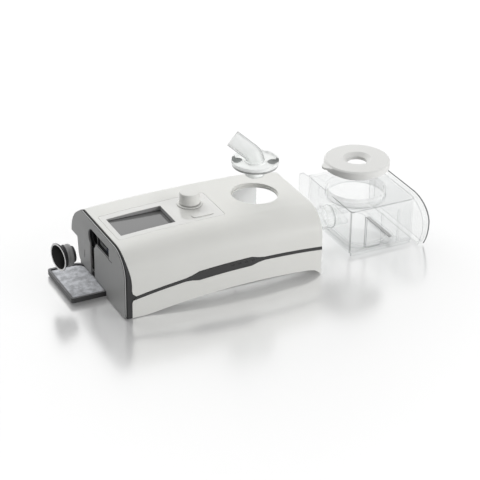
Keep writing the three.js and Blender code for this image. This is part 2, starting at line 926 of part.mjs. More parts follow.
function heaterOutline(allowance) {
  const left = tankLeft + heaterInset;
  return roundedRectangle(
    left - allowance, left + heaterLength + allowance,
    holeY - heaterWidth / 2 - allowance, holeY + heaterWidth / 2 + allowance, heaterCorner + allowance,
  );
}

function mountPlaces() {
  return Array.from({ length: mountCount }, (_, i) => {
    const angle = Math.PI / 2 + (2 * Math.PI * i) / mountCount;
    return [blowerX + mountRing * Math.cos(angle), blowerY + mountRing * Math.sin(angle)];
  });
}

function mainPosts() {
  const xs = [mainBoardLeft + mainPostInset, mainBoardRight - mainPostInset];
  return xs.map((x) => [x, lowRear - wall - mainPostRadius - fit]);
}

function baseTub() {
  const floor = block(baseLeft, baseRight, baseFront, lowRear, floorLow, floorHigh);
  const rear = block(
    baseLeft, bodyLength - notchLength - fit, lowRear - wall, lowRear, floorLow, overhang - fit,
  );
  const front = block(
    baseLeft, bayLeft - tubWall * 2, baseFront, baseFront + tubWall, floorLow, blowerFoot - fit,
  );
  const pocket = block(
    baseLeft, trayLength + slack + tubWall, trayFront - slack - tubWall, trayRear + slack + tubWall,
    floorLow, pocketRoof + tubWall,
  );
  const pocketInside = block(
    -overrun, trayLength + slack, trayFront - slack, trayRear + slack, -overrun, pocketRoof,
  );
  const rails = [
    [trayFront - slack, trayFront + railWidth], [trayRear - railWidth, trayRear + slack],
  ].map(([y0, y1]) => block(baseLeft, trayLength + slack, y0, y1, floorLow, trayLow - fit));
  const vents = spread(trayFront, trayRear - ventWidth, ventCount).slice(1, -1).map((y) => block(
    baseLeft + ventWidth, trayLength - ventWidth, y, y + ventWidth, trayHigh, blowerFoot + overrun,
  ));
  const mounts = mountPlaces().map(([x, y]) => {
    return rod(mountRadius, floorLow, blowerFoot - mountHeight, sidesSmall).translate([x, y, 0]);
  });
  const posts = mainPosts().map(([x, y]) => {
    return rod(mainPostRadius, floorLow, mainBoardLow - fit, sidesSmall).translate([x, y, 0]);
  });
  const runs = runnerRows().map((y) => block(
    tankLeft - slack, bodyLength + overrun,
    y - runnerClear, y + runnerWidth + runnerClear, -overrun, floorHigh + overrun,
  ));
  const heater = prismZ(heaterOutline(fit), floorHigh + fit - heaterDepth, floorHigh + overrun);
  const inlet = block(
    inletLeft - fit, inletLeft + inletWide + fit,
    lowRear - overrun, lowRear + overrun, inletLow - fit, inletLow + inletTall + fit,
  );
  const footSeats = footPlaces().map(([x, y]) => {
    return rod(footRadius + fit, -overrun, floorLow + footSeat, sidesSmall).translate([x, y, 0]);
  });
  const screws = screwPlaces().map(([x, y]) => {
    return rod(screwHead + fit, -overrun, floorLow + screwSink, sidesSmall).translate([x, y, 0]);
  });
  return cutBy(
    joined(floor, rear, front, pocket, ...mounts, ...posts),
    pocketInside, ...vents, ...runs, heater, inlet, ...footSeats, ...screws,
  ).add(joined(...rails));
}

function footPlaces() {
  const right = baseRight - footInset;
  const front = baseFront + footRadius + tubWall;
  const rear = lowRear - wall - footRadius;
  return [
    [baseLeft + footInset, front],
    [right, holeY - footAside],
    [right, holeY + footAside],
    [trayLength + footRadius * 3, rear],
  ];
}

function screwPlaces() {
  const xs = [trayLength + screwInset, bayLeft - screwInset * 2];
  return xs.map((x) => [x, sectionMiddle + screwInset]);
}

function baseScrew() {
  const head = rod(screwHead, floorLow, floorLow + screwSink - fit, sidesSmall);
  const slot = block(-screwHead, screwHead, -fit, fit, 0, floorLow + fit * 2);
  return head.subtract(slot);
}

function rubberFoot() {
  return turned(
    [
      [0, 0], [footRadius - footSeat, 0], [footRadius, footSeat], [footRadius, footThickness],
      [0, footThickness],
    ],
    sidesSmall,
  );
}

// Liner of the tank bay: left, front and rear walls, and a flange that closes the mouth at the front
function bayLiner() {
  const low = floorHigh + fit;
  const high = topHeight - linerDrop;
  const rearEnd = bodyLength - notchLength;
  const rearLip = bodyLength - fit;
  const outer = block(bayLeft - tubWall, rearEnd, bayFront - tubWall, bayRear + tubWall, low, high);
  const front = block(rearEnd - wall, bodyLength - fit, bayFront - tubWall, bayFront, low, high);
  const inner = block(bayLeft, bodyLength + overrun, bayFront, bayRear, low - overrun, high + overrun);
  const space = housingSolid(wall + fit, -overrun, bodyLength + overrun, low);
  const lipLow = lowerEdge(stripPeakAt) + wall;
  const lip = block(rearLip - tubWall, rearLip, stripDepth + fit, bayFront, lipLow, high);
  const back = block(rearEnd - tubWall, rearEnd, bayRear, rearFace, overhang + wall + fit, high);
  const port = prismX(
    ring(inletY, inletZ, neckOuter + fit, sidesMedium), bayLeft - overrun, bayLeft + overrun,
  );
  const walls = joined(outer.subtract(inner), front, lip, back.subtract(inner));
  return walls.intersect(space).subtract(port);
}

// Round outlet that meets the tank's inlet
function bayPort() {
  const inner = neckOuter - hoseWall;
  const neck = tube(inner, neckOuter, -ductReach, bayPortReach, sidesMedium);
  const collar = tube(inner, inletRadius, fit, bayPortReach, sidesMedium);
  return facingX(joined(neck, collar)).translate([bayLeft, inletY, inletZ]);
}

function facingX(solid) {
  return solid.rotate([0, 90, 0]);
}

function baySeal() {
  const ringSolid = turned(
    [
      [inletRadius - hoseWall * 2, 0], [inletRadius, 0],
      [inletRadius - hoseWall / 2, slack], [inletRadius - hoseWall, slack],
    ],
    sidesMedium,
  );
  return facingX(ringSolid).translate([bayLeft + bayPortReach + fit, inletY, inletZ]);
}

// Blower: two halves of a scroll that widens to its outlet neck, impeller, motor

function scrollOutline(radius, turn) {
  return spread(0, 1, scrollSteps).map((share) => {
    const angle = THREE.MathUtils.degToRad(90 + turn - 360 * share);
    const reach = radius * (scrollStartShare + (1 - scrollStartShare) * share);
    return [reach * Math.cos(angle), reach * Math.sin(angle)];
  });
}

// Drum and outlet tunnel together, between two heights
function scrollSolid(inset, turn, reach, z0, z1) {
  const middle = blowerFoot + scrollHeight / 2;
  const radius = blowerRadius - inset;
  const tunnel = facingX(rod(neckOuter - inset, -scrollWall * 2, blowerRadius + reach, sidesMedium));
  const drum = prismZ(scrollOutline(radius, turn), blowerFoot + inset, blowerFoot + scrollHeight - inset);
  const layer = block(-blowerRadius * 2, blowerRadius * 2, -blowerRadius * 2, blowerRadius * 2, z0, z1);
  return drum.add(tunnel.translate([0, inletY - blowerY, middle])).intersect(layer);
}

function scrollHalf(z0, z1) {
  const outer = scrollSolid(0, 0, neckReach, z0, z1);
  const inner = scrollSolid(scrollWall, scrollStep, neckReach + overrun, z0 - overrun, z1 + overrun);
  return outer.subtract(inner);
}

function blowerBase() {
  const half = scrollHalf(blowerFoot, blowerFoot + scrollSplit);
  const eye = rod(blowerEye, blowerFoot - overrun, blowerFoot + scrollSplit, sidesMedium);
  return half.subtract(eye).translate([blowerX, blowerY, 0]);
}

function blowerCover() {
  const half = scrollHalf(blowerFoot + scrollSplit + fit, blowerFoot + scrollHeight);
  const shaft = rod(shaftRadius + fit, 0, blowerFoot + scrollHeight + overrun, sidesSmall);
  return half.subtract(shaft).translate([blowerX, blowerY, 0]);
}

// Backward-curved blades on a disc with a hub
function impeller() {
  const low = blowerFoot + scrollSplit - bladeHeight / 2;
  const disc = rod(impellerRadius, low + bladeHeight, low + bladeHeight + bladeThickness, sidesMedium);
  const hub = rod(shaftRadius * 2, low + bladeThickness, low + bladeHeight + bladeThickness, sidesSmall);
  const sweep = bladeSweep;
  const tip = 180 - bladeArc;
  const blades = Array.from({ length: bladeCount }, (_, i) => {
    const inside = arc(sweep, 0, sweep, sweep, 180, tip, bladeSteps);
    const outside = arc(sweep, 0, sweep + bladeThickness, sweep + bladeThickness, tip, 180, bladeSteps);
    const blade = prismZ([...inside, ...outside], low, low + bladeHeight + bladeThickness / 2);
    return blade.translate([shaftRadius, 0, 0]).rotate([0, 0, (360 * i) / bladeCount]);
  });
  const outerEdge = rod(impellerRadius, low - overrun, low + bladeHeight * 2, sidesMedium);
  return joined(disc, hub, ...blades).intersect(outerEdge).translate([blowerX, blowerY, 0]);
}

function blowerMotor() {
  const top = blowerFoot + scrollHeight;
  const can = turned(
    [
      [0, top + fit], [motorRadius, top + fit], [motorRadius, top + motorHeight - slack],
      [motorRadius - slack, top + motorHeight], [0, top + motorHeight],
    ],
    sidesMedium,
  );
  const shaftLow = blowerFoot + scrollSplit + bladeHeight / 2 + bladeThickness + fit;
  const shaft = rod(shaftRadius, shaftLow, top + fit * 2, sidesSmall);
  return joined(can, shaft).translate([blowerX, blowerY, 0]);
}

function rubberMount() {
  const low = blowerFoot - mountHeight + fit;
  const high = blowerFoot - fit;
  const middle = (low + high) / 2;
  return turned(
    [[0, low], [mountRadius, low], [mountWaist, middle], [mountRadius, high], [0, high]],
    sidesSmall,
  );
}

// Duct from the scroll's neck to the port of the bay, with two bellows rings
function airDuct() {
  const from = blowerX + blowerRadius + fit;
  const to = bayLeft - tubWall - fit;
  const inner = neckOuter + fit;
  const outer = inner + hoseWall;
  const length = to - from;
  const profile = [[inner, 0], [outer, 0]];
  bellowsShares.forEach((share) => {
    profile.push([outer, length * (share - bellowsHalfShare)], [outer + hoseWall, length * share]);
    profile.push([outer, length * (share + bellowsHalfShare)]);
  });
  profile.push([outer, length], [inner, length]);
  return facingX(turned(profile, sidesMedium)).translate([from, inletY, inletZ]);
}

function mufflerFoam() {
  const top = rollFoot;
  return prismZ(
    roundedRectangle(foamLeft, foamRight, foamFront, foamRear, panelCorner),
    floorHigh + fit,
    top,
  );
}

function mainBoard() {
  const plate = block(
    mainBoardLeft, mainBoardRight, mainBoardFront, mainBoardRear, mainBoardLow, mainBoardLow + boardThickness,
  );
  const top = mainBoardLow + boardThickness - fit / 3;
  const parts = mainPartShares.map((share, i) => {
    const x = mainBoardLeft + (mainBoardRight - mainBoardLeft) * share;
    const size = i % 2 ? mainPartSmall : mainPartSize;
    const y = (mainBoardFront + mainBoardRear) / 2;
    return block(x - size, x + size, y - size, y + size, top, top + size / 2);
  });
  return joined(plate, ...parts);
}

function controlBoard() {
  const top = controlBoardTop;
  const inset = controlBoardInset;
  return block(
    overlayLeft + inset, overlayRight - inset, overlayFront + inset / 2, overlayRear - inset / 2,
    top - boardThickness, top,
  );
}

function displayLens() {
  return block(
    screenLeft - lensLap, screenRight + lensLap, screenFront - lensLap, screenRear + lensLap,
    lensTop - lensThickness, lensTop,
  );
}

function displayModule() {
  const lap = lensLap / 2;
  const frame = block(
    screenLeft - lap, screenRight + lap, screenFront - lap, screenRear + lap,
    controlBoardTop + fit, moduleTop,
  );
  const face = block(
    screenLeft, screenRight, screenFront, screenRear, moduleTop - fit * 2, moduleTop + overrun,
  );
  return frame.subtract(face);
}

function encoder() {
  const half = encoderSize / 2;
  const low = controlBoardTop + fit;
  const body = block(-half, half, -half, half, low, low + encoderHeight);
  const hole = rod(shaftRadius + fit, low + boardThickness, low + encoderHeight + overrun, sidesSmall);
  return body.subtract(hole).translate([knobX, knobY, 0]);
}

function encoderShaft() {
  const low = controlBoardTop + fit + boardThickness + fit + knobPress;
  return rod(shaftRadius, low, topAt(knobX) + shaftCap, sidesSmall).translate([knobX, knobY, 0]);
}

function knobSkirt() {
  const low = topAt(knobX) + fit;
  const inner = shaftRadius + slack;
  return turned(
    [
      [inner, low], [skirtRadius, low], [skirtRadius, low + skirtHeight / 2],
      [skirtRadius - slack / 2, low + skirtHeight], [inner, low + skirtHeight],
    ],
    sidesMedium,
  ).translate([knobX, knobY, 0]);
}

function knobCap() {
  const low = topAt(knobX) + fit + skirtHeight + knobPress + fit;
  const high = topAt(knobX) + knobHeight;
  const top = knobRadius - fit * 2;
  const outside = turned(
    [
      [0, low], [knobRadius, low], [knobRadius, low + slack], [top, high - slack * 2],
      [top - slack / 2, high - slack / 2], [top - slack * 2, high], [0, high - fit],
    ],
    sidesMedium,
  );
  const hollow = tube(
    shaftRadius * 2, knobRadius - knobWall, low - overrun, high - knobWall * 2, sidesMedium,
  );
  const bore = rod(shaftRadius + fit, low - overrun, topAt(knobX) + shaftCap + fit, sidesSmall);
  return cutBy(outside, hollow, bore).translate([knobX, knobY, 0]);
}

function powerButton() {
  const top = topAt(buttonX);
  const cap = prismZ(
    obround(buttonX, buttonY, buttonLength, buttonWidth, rollSteps), top - wall, top + buttonProud,
  );
  const inset = slack * 2;
  const stem = prismZ(
    obround(buttonX, buttonY, buttonLength - inset * 2, buttonWidth - inset, cornerSteps),
    controlBoardTop + switchHeight + fit * 2 + buttonTravel,
    top - wall + fit,
  );
  return joined(cap, stem);
}

function buttonSwitch() {
  const half = switchSize / 2;
  const low = controlBoardTop + fit;
  const body = block(-half, half, -half, half, low, low + switchBodyHeight);
  const plunger = rod(half / 2, low, low + switchHeight, sidesSmall);
  return joined(body, plunger).translate([buttonX, buttonY, 0]);
}

// Power inlet under the rear overhang
function powerInlet() {
  const body = block(
    inletLeft, inletLeft + inletWide, lowRear - inletDeep, lowRear - fit, inletLow, inletLow + inletTall,
  );
  const centre = [inletLeft + inletWide / 2, 0, inletLow + inletTall / 2];
  const well = prismY(
    roundedRectangle(
      -inletWide / 2 + wall, inletWide / 2 - wall, -inletTall / 2 + wall, inletTall / 2 - wall, wall,
    ),
    lowRear - inletDeep + wall,
    lowRear + overrun,
  );
  const pin = prismY(ring(0, 0, hoseWall, sidesSmall), lowRear - inletDeep + wall / 2, lowRear - wall);
  return joined(body.subtract(well.translate(centre)), pin.translate(centre));
}

// Filter tray with a rounded rear corner, and its pad
function trayOutline(inset) {
  const x0 = inset;
  const x1 = trayLength - inset;
  const y0 = trayFront + inset;
  const y1 = trayRear - inset;
  const small = trayWall - inset / 2;
  const large = trayCorner - inset / 2;
  return [
    ...arc(x0 + small, y0 + small, small, small, 180, 270, 3),
    ...arc(x1 - small, y0 + small, small, small, 270, 360, 3),
    ...arc(x1 - large, y1 - large, large, large, 0, 90, 6),
    ...arc(x0 + small, y1 - small, small, small, 90, 180, 3),
  ];
}

function filterTray() {
  const rim = prismZ(trayOutline(0), trayLow, trayHigh).subtract(
    prismZ(trayOutline(trayWall), trayLow - overrun, trayHigh + overrun),
  );
  const bars = spread(trayFront, trayRear, trayBarCount + 1).slice(1, -1).map((y) => block(
    trayWall / 2, trayLength - trayWall / 2, y - trayBarWidth / 2, y + trayBarWidth / 2,
    trayLow, trayLow + trayFloorHeight,
  ));
  return joined(rim, ...bars);
}

function filterPad() {
  return prismZ(trayOutline(trayWall + fit), trayLow + trayFloorHeight + fit, trayHigh - padDrop);
}

// Rubber hose connector: flared mouth cut off a little aslant, ribbed neck, plain end that enters the port

function hoseConnector() {
  const neckEnd = plugLength + neckLength;
  const mouthEnd = neckEnd + mouthDepth;
  const pitch = neckLength / ribCount;
  const outside = [[plugRadius - plugTaper, 0], [plugRadius, plugLength]];
  for (let i = 0; i < ribCount; i++) {
    const from = plugLength + pitch * i;
    outside.push([neckRadius, from], [neckRadius + ribProud, from + pitch / 3]);
    outside.push([neckRadius + ribProud, from + (pitch * 2) / 3]);
  }
  const edge = fit;
  outside.push([neckRadius, neckEnd], [mouthRadius - edge, mouthEnd - lipThickness]);
  outside.push([mouthRadius, mouthEnd - edge], [mouthRadius - edge, mouthEnd]);
  const inside = [
    [mouthRadius - mouthLip, mouthEnd], [mouthRadius - mouthLip, mouthEnd - edge],
    [neckRadius - rubberWall, neckEnd - rubberWall], [neckRadius - rubberWall, plugLength + rubberWall],
    [plugRadius - rubberWall, plugLength], [plugRadius - plugTaper - rubberWall, 0],
  ];
  const loop = [...outside, ...inside, outside[0]];
  const geometry = new THREE.LatheGeometry(points(loop), sidesMedium);
  slantEnd(geometry, neckEnd, mouthEnd);
  geometry.rotateZ(Math.PI / 2);
  return solidOf(geometry);
}

// Shears the far end of a turned form, more the farther it lies past a height
function slantEnd(geometry, from, to) {
  const at = geometry.attributes.position;
  const slope = Math.tan(THREE.MathUtils.degToRad(mouthSlant));
  for (let i = 0; i < at.count; i++) {
    const share = THREE.MathUtils.clamp((at.getY(i) - from) / (to - from), 0, 1);
    at.setY(i, at.getY(i) + share * slope * at.getX(i));
  }
}

// Water tank

function tankBody() {
  const outline = roundedRectangle(tankLeft, tankRight, tankFront, tankRear, tankCorner);
  const inside = roundedRectangle(
    tankLeft + tankWall, tankRight - tankWall, tankFront + tankWall, tankRear - tankWall,
    tankCorner - tankWall,
  );
  const walls = prismZ(outline, tankFloor, tankTop).subtract(
    prismZ(inside, tankFloor + tankWall, tankTop - tankWall),
  );
  const collar = tube(collarRadius - collarWall, collarRadius, collarFoot, collarTop, sidesLarge);
  const opening = rod(collarRadius - collarWall, collarFoot - overrun, collarTop + overrun, sidesLarge);
  const runners = runnerRows().map((y) => block(
    tankLeft + tankCorner / 2, tankRight - tankCorner / 2, y, y + runnerWidth, 0, tankFloor + tankWall / 2,
  ));
  const middle = (tankLeft + tankRight) / 2;
  const ribs = [-1, 0, 1].map((step) => block(
    middle + ribSpacing * step, middle + ribSpacing * step + ribWidth,
    tankFront + tankWall / 2, tankFront + tankWall + ribReach,
    tankFloor + tankWall / 2, collarFoot - ribReach,
  ));
  const plateHole = prismZ(heaterOutline(0), tankFloor - overrun, tankFloor + plateThickness + fit);
  const plateWindow = prismZ(heaterOutline(-plateLap), tankFloor - overrun, tankFloor + tankWall + fit);
  const port = prismX(
    ring(inletY, inletZ, neckOuter + fit, sidesMedium), tankLeft - overrun, tankLeft + overrun,
  );
  return cutBy(
    joined(
      walls, collar.translate([holeX, holeY, 0]), ...runners, ...ribs,
      tankFin(), tankRidge(), tankLatch(),
    ),
    opening.translate([holeX, holeY, 0]), plateHole, plateWindow, port,
  );
}

// Low ridge round the floor, with wide corners
function tankRidge() {
  const right = tankLeft + heaterInset + heaterLength + ridgeBeyond;
  const outline = (inset) => roundedRectangle(
    tankLeft + ridgeLeft + inset, right - inset,
    tankFront + ridgeSide + inset, tankRear - ridgeSide - inset, ridgeCorner - inset,
  );
  const low = tankFloor + tankWall / 2;
  const high = tankFloor + tankWall + ridgeHeight;
  return prismZ(outline(0), low, high).subtract(prismZ(outline(ridgeWidth), low - overrun, high + overrun));
}

function tankLatch() {
  const high = tankTop - tankWall;
  return block(tankLeft - latchProud, tankLeft + tankWall / 2, latchFront, latchRear, high - latchTall, high);
}

// Guide fin that runs on from the rear wall past the left wall
function tankFin() {
  const left = tankLeft - finReach;
  const outline = [
    [tankLeft + tankWall, inletZ],
    [tankLeft + tankCorner, tankTop - fit],
    [tankLeft, tankTop - fit],
    [left + tankCorner, finTop],
    ...arc(left + tankWall, finTop - tankWall, tankWall, tankWall, 90, 180, 4),
    [left, inletZ + tankCorner],
    [left + tankCorner, inletZ],
  ];
  return prismY(outline, tankRear - tankWall, tankRear);
}

function tankPlate() {
  return prismZ(heaterOutline(-fit), tankFloor, tankFloor + plateThickness);
}

// Dark strip on the floor of the tank, over the right-hand edge of the plate
function tankGrip() {
  const low = tankFloor + tankWall + fit;
  const outline = roundedRectangle(gripLeft, gripLeft + gripWidth, gripFront, gripRear, gripHeight, 3);
  return prismZ(outline, low, low + gripHeight);
}

// Air inlet of the tank: short round nozzle outside, and inside a duct cut off on a slant
function tankInlet() {
  const nozzle = tube(inletRadius - hoseWall * 2, inletRadius, -inletTubeReach, -fit, sidesMedium);
  const sleeve = tube(
    inletRadius - hoseWall * 2, inletRadius - hoseWall, -hoseWall, inletInside, sidesMedium,
  );
  const slant = new THREE.Matrix4().makeRotationY(THREE.MathUtils.degToRad(-inletSlant)).elements;
  const cutter = block(
    -inletRadius * 2, inletRadius * 3, -inletRadius * 2, inletRadius * 2, inletSlantFoot, inletInside * 3,
  ).transform(Array.from(slant));
  return facingX(joined(nozzle, sleeve).subtract(cutter)).translate([tankLeft, inletY, inletZ]);
}

function endOutline(inset) {
  const top = endBelly + endRollRise - inset;
  const rear = tankRear - inset;
  const low = endLow + inset;
  return [
    ...bezier([endTuck + inset, low], [inset / 2, endBelly / 2], [inset, endBelly], cornerSteps),
    ...arc(endRoll, endBelly, endRoll - inset, endRollRise - inset, endRollStart, 90, rollSteps),
    ...arc(rear - endRearCorner, top - endRearCorner, endRearCorner, endRearCorner, 90, 0, 4),
    [rear, low],
  ];
}

// Profile-shaped end of the tank: a shallow clear tray whose hollow faces the tank
function tankEndPlate() {
  const from = tankRight + fit;
  const shell = prismX(endOutline(0), from, from + endPlateDepth);
  const hollow = prismX(endOutline(tankWall), from - overrun, from + endPlateDepth - tankWall);
  return shell.subtract(hollow);
}

function tankLid() {
  const low = tankTop + fit;
  const top = low + lidHeight;
  const skin = tankWall;
  const plugFoot = low - lidPlugDepth;
  const boreFoot = top - lidWellDepth - lidBoreDepth;
  const roof = top - lidRoof;
  const outside = turned(
    [
      [lidBoreRadius, boreFoot], [lidBoreRadius + skin, boreFoot],
      [lidBoreRadius + skin, roof - skin], [lidWellRadius, roof], [lidPlugRadius - skin, roof],
      [lidPlugRadius - skin, plugFoot], [lidPlugRadius, plugFoot], [lidPlugRadius, roof],
      [lidRadius - skin, roof], [lidRadius - skin, low], [lidRadius, low],
      [lidRadius, top - lidShoulder], [lidRadius - lidEdge, top - lidEdge],
      [lidRadius - lidShoulder, top], [lidWellRadius + lidEdge, top + lidDome - fit],
      [lidWellRadius, top], [lidBoreRadius + lidEdge / 2, top - lidWellDepth],
      [lidBoreRadius, top - lidWellDepth - fit],
    ],
    sidesLarge,
  );
  const tab = prismZ(
    [
      [-lidRadius + skin / 2, -lidTabWidth / 2],
      ...arc(-lidRadius, 0, lidTabReach, lidTabWidth / 3, lidTabArc - 180, -lidTabArc - 180, fallSteps),
      [-lidRadius + skin / 2, lidTabWidth / 2],
    ].reverse(),
    top - lidTabDrop - lidTabThickness,
    top - lidTabDrop,
  );
  return joined(outside, tab).translate([holeX, holeY, 0]);
}

function lidSeal() {
  const low = tankTop + fit * 2 - lidPlugDepth;
  const ringSolid = turned(
    [
      [lidPlugRadius + fit, low], [lidPlugRadius + fit * 2, low + slack / 2],
      [lidPlugRadius + fit, low + slack],
    ],
    sidesLarge,
  );
  return ringSolid.translate([holeX, holeY, 0]);
}

// Elbow: flange with finger wells, seal, and the clear swivelling outlet

function elbowFlange() {
  const seat = topAt(holeX) - wellDepth + fit;
  const high = topAt(holeX) + fit;
  const low = high - flangeRim;
  const rim = holeRadius - fit;
  const skirt = holeRadius - ledgeWidth - fit;
  const floor = high - flangeDish;
  const bossOuter = hoseRadius + swivelLip + fit + bossWall;
  const bossInner = hoseRadius + swivelLip + fit;
  const bore = hoseRadius - hoseWall;
  const spigotFoot = low - spigotDepth;
  const outside = turned(
    [
      [bore, spigotFoot], [hoseRadius, spigotFoot], [hoseRadius, floor - flangeSkin],
      [skirt - flangeSkin, floor - flangeSkin], [skirt - flangeSkin, low - fit], [skirt, low - fit],
      [skirt, seat], [rim, seat], [rim, high], [rim - flangeSkin, high],
      [rim - flangeSkin * 2, floor], [bossOuter, floor], [bossOuter, floor + bossHeight],
      [bossInner, floor + bossHeight], [bossInner, floor], [bore, floor],
    ],
    sidesLarge,
  );
  const cup = rod(fingerRadius + fingerWall, low - fit, floor, sidesMedium);
  const scoop = wasm.Manifold.sphere(fingerRadius, sidesMedium)
    .scale([1, 1, fingerDepth / fingerRadius])
    .translate([0, 0, high]);
  const cups = joined(...fingerPair(cup)).intersect(rod(skirt, low - overrun, high, sidesLarge));
  return joined(outside, cups).subtract(joined(...fingerPair(scoop))).translate([holeX, holeY, 0]);
}

// The same form for each of two fingers, on opposite sides of the boss
function fingerPair(form) {
  return [0, 180].map((turn) => form.translate([fingerReach, 0, 0]).rotate([0, 0, fingerAngle + turn]));
}

// Clear outlet: a short upright in the flange's boss and a leaning tube, bored right through
function elbowTube() {
  const floor = topAt(holeX) + fit * 2 - flangeDish;
  const lean = THREE.MathUtils.degToRad(elbowLean);
  const turn = hoseRadius * Math.tan(lean / 2);
  const bend = topAt(holeX) + elbowBend - turn;
  const reach = elbowReach - turn;
  const inner = hoseRadius - hoseWall;
  const outside = bentRod(hoseRadius, floor, bend, reach, lean, hoseRadius, sidesMedium);
  const lip = rod(hoseRadius + swivelLip, floor, floor + swivelLip, sidesMedium);
  const bore = bentRod(inner, floor - overrun, bend, reach + overrun, lean, hoseRadius, sidesMedium);
  return joined(outside, lip)
    .subtract(bore)
    .rotate([0, 0, -elbowSwivel])
    .translate([holeX, holeY, 0]);
}

function elbowSeal() {
  const low = topAt(holeX) - flangeRim - spigotDepth + fit * 3;
  const outer = lidBoreRadius - fit;
  return turned(
    [[hoseRadius + fit, low], [outer, low + slack / 2], [hoseRadius + fit, low + slack]],
    sidesMedium,
  ).translate([holeX, holeY, 0]);
}

function heaterPlate() {
  return prismZ(heaterOutline(0), floorHigh + fit * 2 - heaterDepth, tankFloor - fit);
}

// Assembly

const machine = new THREE.Group();
machine.add(
  piece('top_housing', topHousing(), materials.shellWhite),
  piece('lower_front_cover', lowerCover(), materials.shellWhite),
  piece('front_strip', frontStrip(), materials.stripGrey),
  piece('indicator_lenses', indicatorLenses(), materials.lamp),
  piece('edge_trim', edgeTrim(), materials.trimGrey),
  piece('side_panel', sidePanel(), materials.panelGrey),
  piece('side_port_block', portBlock(), materials.black),
  piece('card_socket', cardSocket(), materials.socketBlue),
  piece('base_tub', baseTub(), materials.linerGrey),
  piece('bay_liner', bayLiner(), materials.linerGrey),
  piece('bay_air_port', bayPort(), materials.linerGrey),
  piece('bay_port_seal', baySeal(), materials.rubber),
  piece('heater_plate', heaterPlate(), materials.aluminium),
  piece('control_overlay', controlOverlay(), materials.shellWhite),
  piece('display_lens', displayLens(), materials.glass),
  piece('display_module', displayModule(), materials.black),
  piece('display_bezel', displayBezel(), materials.panelGrey),
  piece('control_board', controlBoard(), materials.board),
  piece('dial_encoder', encoder(), materials.black),
  piece('dial_skirt', knobSkirt(), materials.shellWhite),
  piece('button_switch', buttonSwitch(), materials.black),
  piece('blower_base', blowerBase(), materials.linerGrey),
  piece('blower_cover', blowerCover(), materials.linerGrey),
  piece('blower_motor', blowerMotor(), materials.steel),
  piece('air_duct', airDuct(), materials.rubber),
  piece('muffler_foam', mufflerFoam(), materials.foam),
  piece('main_board', mainBoard(), materials.board),
  piece('power_inlet', powerInlet(), materials.black),
);

function addAtPlaces(name, solid, material, places) {
  places.forEach(([x, y], i) => {
    const copy = piece(`${name}_${i + 1}`, solid, material);
    copy.position.set(x, y, 0);
    machine.add(copy);
  });
}

addAtPlaces('rubber_foot', rubberFoot(), materials.rubber, footPlaces());
addAtPlaces('blower_mount', rubberMount(), materials.rubber, mountPlaces());
addAtPlaces('base_screw', baseScrew(), materials.steel, screwPlaces());

machine.add(piece('impeller', impeller(), materials.linerGrey));
machine.add(piece('dial_shaft', encoderShaft(), materials.steel));
machine.add(piece('dial_cap', knobCap(), materials.shellWhite));
machine.add(piece('power_button', powerButton(), materials.shellWhite));

// The tray, drawn out to the left
const tray = new THREE.Group();
tray.add(piece('filter_tray', filterTray(), materials.trimGrey));
tray.add(piece('filter_pad', filterPad(), materials.filterFelt));
tray.position.x = -trayTravel;

// The rubber connector, held off its port
const connector = piece('hose_connector', hoseConnector(), materials.rubber);
connector.position.set(plugLength - fit - connectorOut, portY - connectorForward, portZ - connectorDown);

// The tank, drawn out to the right, with its lid lifted
const tankUnit = new THREE.Group();
tankUnit.add(
  piece('tank_body', tankBody(), materials.clear),
  piece('tank_base_plate', tankPlate(), materials.steel),
  piece('tank_plate_grip', tankGrip(), materials.trimGrey),
  piece('tank_air_inlet', tankInlet(), materials.clear),
  piece('tank_end_plate', tankEndPlate(), materials.clear),
);
const lid = new THREE.Group();
lid.add(piece('tank_lid', tankLid(), materials.shellWhite));
lid.add(piece('tank_lid_seal', lidSeal(), materials.rubber));
lid.position.z = lidLift;
tankUnit.add(lid);
tankUnit.position.x = tankTravel;

// The elbow, lifted out of the top
const elbow = new THREE.Group();
elbow.add(
  piece('elbow_flange', elbowFlange(), materials.clear),
  piece('elbow_seal', elbowSeal(), materials.rubber),
  piece('elbow_tube', elbowTube(), materials.clear),
);
elbow.position.z = elbowLift;

machine.add(tray, connector, tankUnit, elbow);

// The origin is the middle of the ground that the whole layout covers
machine.updateMatrixWorld(true);
const bounds = new THREE.Box3().setFromObject(machine);
const middle = bounds.getCenter(new THREE.Vector3());
machine.position.set(-middle.x, -middle.y, -bounds.min.z);

const layout = new THREE.Group();
layout.add(machine);

export default layout;
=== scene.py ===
import json
import math

import bmesh
import bpy
from mathutils import Matrix, Vector, noise

